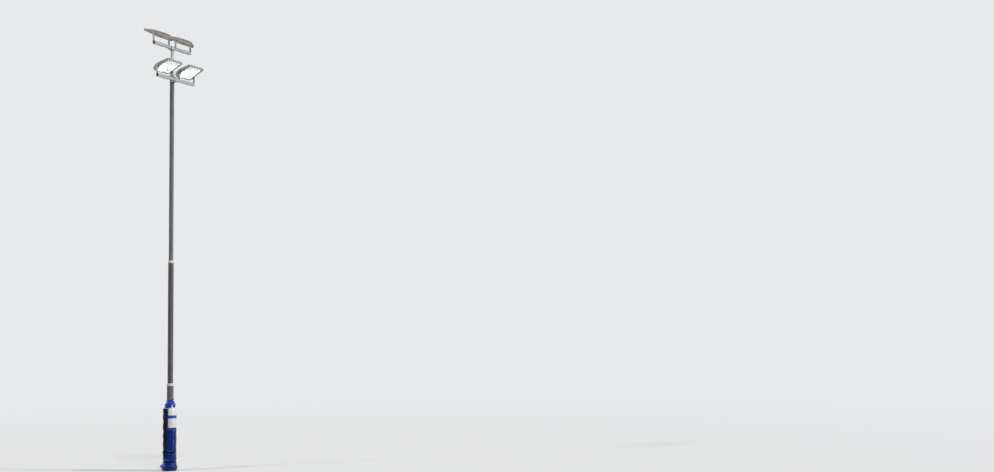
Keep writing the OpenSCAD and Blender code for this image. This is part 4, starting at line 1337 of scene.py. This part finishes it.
panel_low, panel_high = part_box("pad_panel")[0].z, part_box("pad_panel")[1].z
panel_from, panel_to = 201.0, 299.0
fold_z, fold_turn = 0.011, 4.0
panel_z = [panel_low, panel_low + 0.0015, *np.linspace(panel_low + fold_z, panel_high - fold_z, 90),
           panel_high - 0.0015, panel_high]
panel_turn = [panel_from, panel_from + 0.5, *np.linspace(panel_from + fold_turn, panel_to - fold_turn, 40),
              panel_to - 0.5, panel_to]


def on_panel(degrees, z, lift):
    """The point of the panel in one direction at a height: it ripples, and bridges the groove at its top."""
    ripple = 0.0007 * math.sin(z * 37 + degrees * 0.09) + 0.0005 * math.sin(z * 71 - degrees * 0.13)
    bridge = 0.0050 * max(0.0, (z - pad_top + 0.03) / 0.08)
    return on_cover(degrees, z, lift + ripple + bridge)


sheet_points = np.zeros((len(panel_z), len(panel_turn), 3))
for i, z in enumerate(panel_z):
    for j, degrees in enumerate(panel_turn):
        border = min(i, j, len(panel_z) - 1 - i, len(panel_turn) - 1 - j)
        sheet_points[i, j] = on_panel(degrees, z, (0.0018, 0.0027, 0.0024)[min(border, 2)])

# The band is dyed into the sheet between two heights
band_low, band_high, band_edge = 1.2735, 1.3465, 0.001
tree = panel_white.node_tree
dyed = tree.nodes["Principled BSDF"].inputs["Base Color"]
height = put(tree, "SeparateXYZ", {0: put(tree, "TexCoord").outputs["Object"]}).outputs[2]
band = sums(tree, "MULTIPLY", spread(tree, height, band_low, band_low + band_edge),
            spread(tree, height, band_high, band_high - band_edge))
tree.links.new(mix_colour(tree, band, dyed.links[0].from_socket, (12, 60, 160)), dyed)
panel = cloth_piece("pad_bare_panel", sheet_points, panel_white, 0.0016, False)
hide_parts("pad_panel")

inset_z, inset_turn = 0.0075, 2.9
seam_turns = (panel_from + inset_turn, panel_to - inset_turn)
seam_heights = (panel_low + inset_z, panel_high - inset_z)
rows_up = [[(degrees, z) for z in np.linspace(*seam_heights, 61)] for degrees in seam_turns]
rows_across = [[(degrees, z) for degrees in np.linspace(*seam_turns, 41)] for z in seam_heights]
bm = bmesh.new()
for row in rows_up + rows_across:
    stitch_row(bm, [on_panel(degrees, z, 0.0028) for degrees, z in row])
add_piece("panel_stitching", bm, pale_thread, 80)

tab_side, tab_long = 239, 0.067
tab_r = max(on_cover(tab_side + k, panel_high + rise).xy.length
            for k in (-9, -4, 0, 4, 9) for rise in (0.0, 0.02, 0.04, 0.05))
tab_points = np.zeros((16, 9, 3))
for i in range(16):
    up = i / 15
    half = (9.0 - 4.2 * up) * (1 - max(0.0, (up - 0.86) / 0.15) ** 2) ** 0.5
    r = tab_r + 0.0030 - 0.0012 * up ** 2 + 0.0010 * math.sin(9 * up)
    for j in range(9):
        degrees = tab_side + half * (j - 4) / 4
        tab_points[i, j] = around(r, math.radians(degrees), panel_high - 0.007 + tab_long * up)
tab = cloth_piece("panel_tab", tab_points, panel_white, 0.0016, False)


# Studio: a plain pale floor under an even pale sky, a soft sun from the right of the camera with a
# low strip under it, weaker ones from the far left and from above, and the camera where the
# photograph was taken from.

pale_sky = (0.80, 0.81, 0.83, 1)


def looked_at(tree):
    """1 where the camera, a reflection or the glass looks, and 0 for light on its way to the object."""
    rays = put(tree, "LightPath").outputs
    bent = sums(tree, "MAXIMUM", rays["Is Glossy Ray"], rays["Is Transmission Ray"])
    return sums(tree, "MAXIMUM", rays["Is Camera Ray"], bent)


floor_half, fades_from, fades_to = 1500.0, 4.0, 42.0
floor_mesh = bpy.data.meshes.new("floor")
floor_corners = [(x * floor_half, y * floor_half, 0) for x, y in ((-1, -1), (1, -1), (1, 1), (-1, 1))]
floor_mesh.from_pydata(floor_corners, [], [(0, 1, 2, 3)])
floor = bpy.data.objects.new("floor", floor_mesh)
bpy.context.scene.collection.objects.link(floor)
floor_finish, tree, shader, place = start_finish("Pale floor", {"Roughness": 0.9, "Specular IOR Level": 0.1})
seen = looked_at(tree)
coats(tree, shader, mix_colour(tree, seen, (0.42, 0.42, 0.41, 1), (0.94, 0.94, 0.93, 1)))
far = vectors(tree, "LENGTH", place, result="Value")
far = put(tree, "MapRange", {"Value": far, "From Min": fades_from, "From Max": fades_to},
          interpolation_type="SMOOTHSTEP").outputs[0]
backdrop = put(tree, "Emission", {"Color": pale_sky, "Strength": 1.0})
fade = sums(tree, "MULTIPLY", far, seen)
blended = put(tree, "MixShader", {0: fade, 1: shader.outputs[0], 2: backdrop.outputs[0]})
tree.links.new(blended.outputs[0], tree.nodes["Material Output"].inputs["Surface"])
floor_mesh.materials.append(floor_finish)

world = bpy.data.worlds.new("Pale sky")
bpy.context.scene.world = world
world.use_nodes = True
tree = world.node_tree
sky_light = tree.nodes["Background"]
sky_light.inputs["Color"].default_value = (0.92, 0.95, 1.0, 1)
sky_light.inputs["Strength"].default_value = 0.20
sky_shown = put(tree, "Background", {"Color": pale_sky, "Strength": 1.0})
mixed = put(tree, "MixShader", {0: looked_at(tree), 1: sky_light.outputs[0], 2: sky_shown.outputs[0]})
tree.links.new(mixed.outputs[0], tree.nodes["World Output"].inputs["Surface"])

# Each sun by its strength, its direction round the mast, how high it stands and how soft it is
for name, strength, degrees, rise, soft in (("key", 1.8, 282, 31, 7), ("low_strip", 0.65, 283, 3, 8),
                                            ("rim", 0.80, 138, 36, 5), ("overhead", 0.60, 228, 66, 9)):
    sun = bpy.data.lights.new(name, "SUN")
    sun.energy = strength
    sun.angle = math.radians(soft)
    sun_object = bpy.data.objects.new(name, sun)
    rise = math.radians(rise)
    way = around(math.cos(rise), math.radians(degrees), math.sin(rise))
    sun_object.rotation_euler = way.to_track_quat("Z", "Y").to_euler()
    bpy.context.scene.collection.objects.link(sun_object)

# The lens, worked out in pixels of a frame that is 994 wide, and which way the camera looks
frame_pixels, lens_pixels = 994, 1257.7
heading, tilt, roll = -65.752, 94.84, -0.917
camera = bpy.data.cameras.new("camera")
camera.sensor_fit = "HORIZONTAL"
camera.sensor_width = 36.0
camera.lens = lens_pixels / frame_pixels * camera.sensor_width
camera.clip_end = 5000
view = bpy.data.objects.new("camera", camera)
view.location = (-25.1, -20.2, 3.0)
aim = Matrix.Rotation(math.radians(heading), 3, "Z") @ Matrix.Rotation(math.radians(tilt), 3, "X")
view.rotation_euler = (aim @ Matrix.Rotation(math.radians(roll), 3, "Z")).to_euler()
bpy.context.scene.collection.objects.link(view)
bpy.context.scene.camera = view
bpy.context.scene.view_settings.view_transform = "Standard"
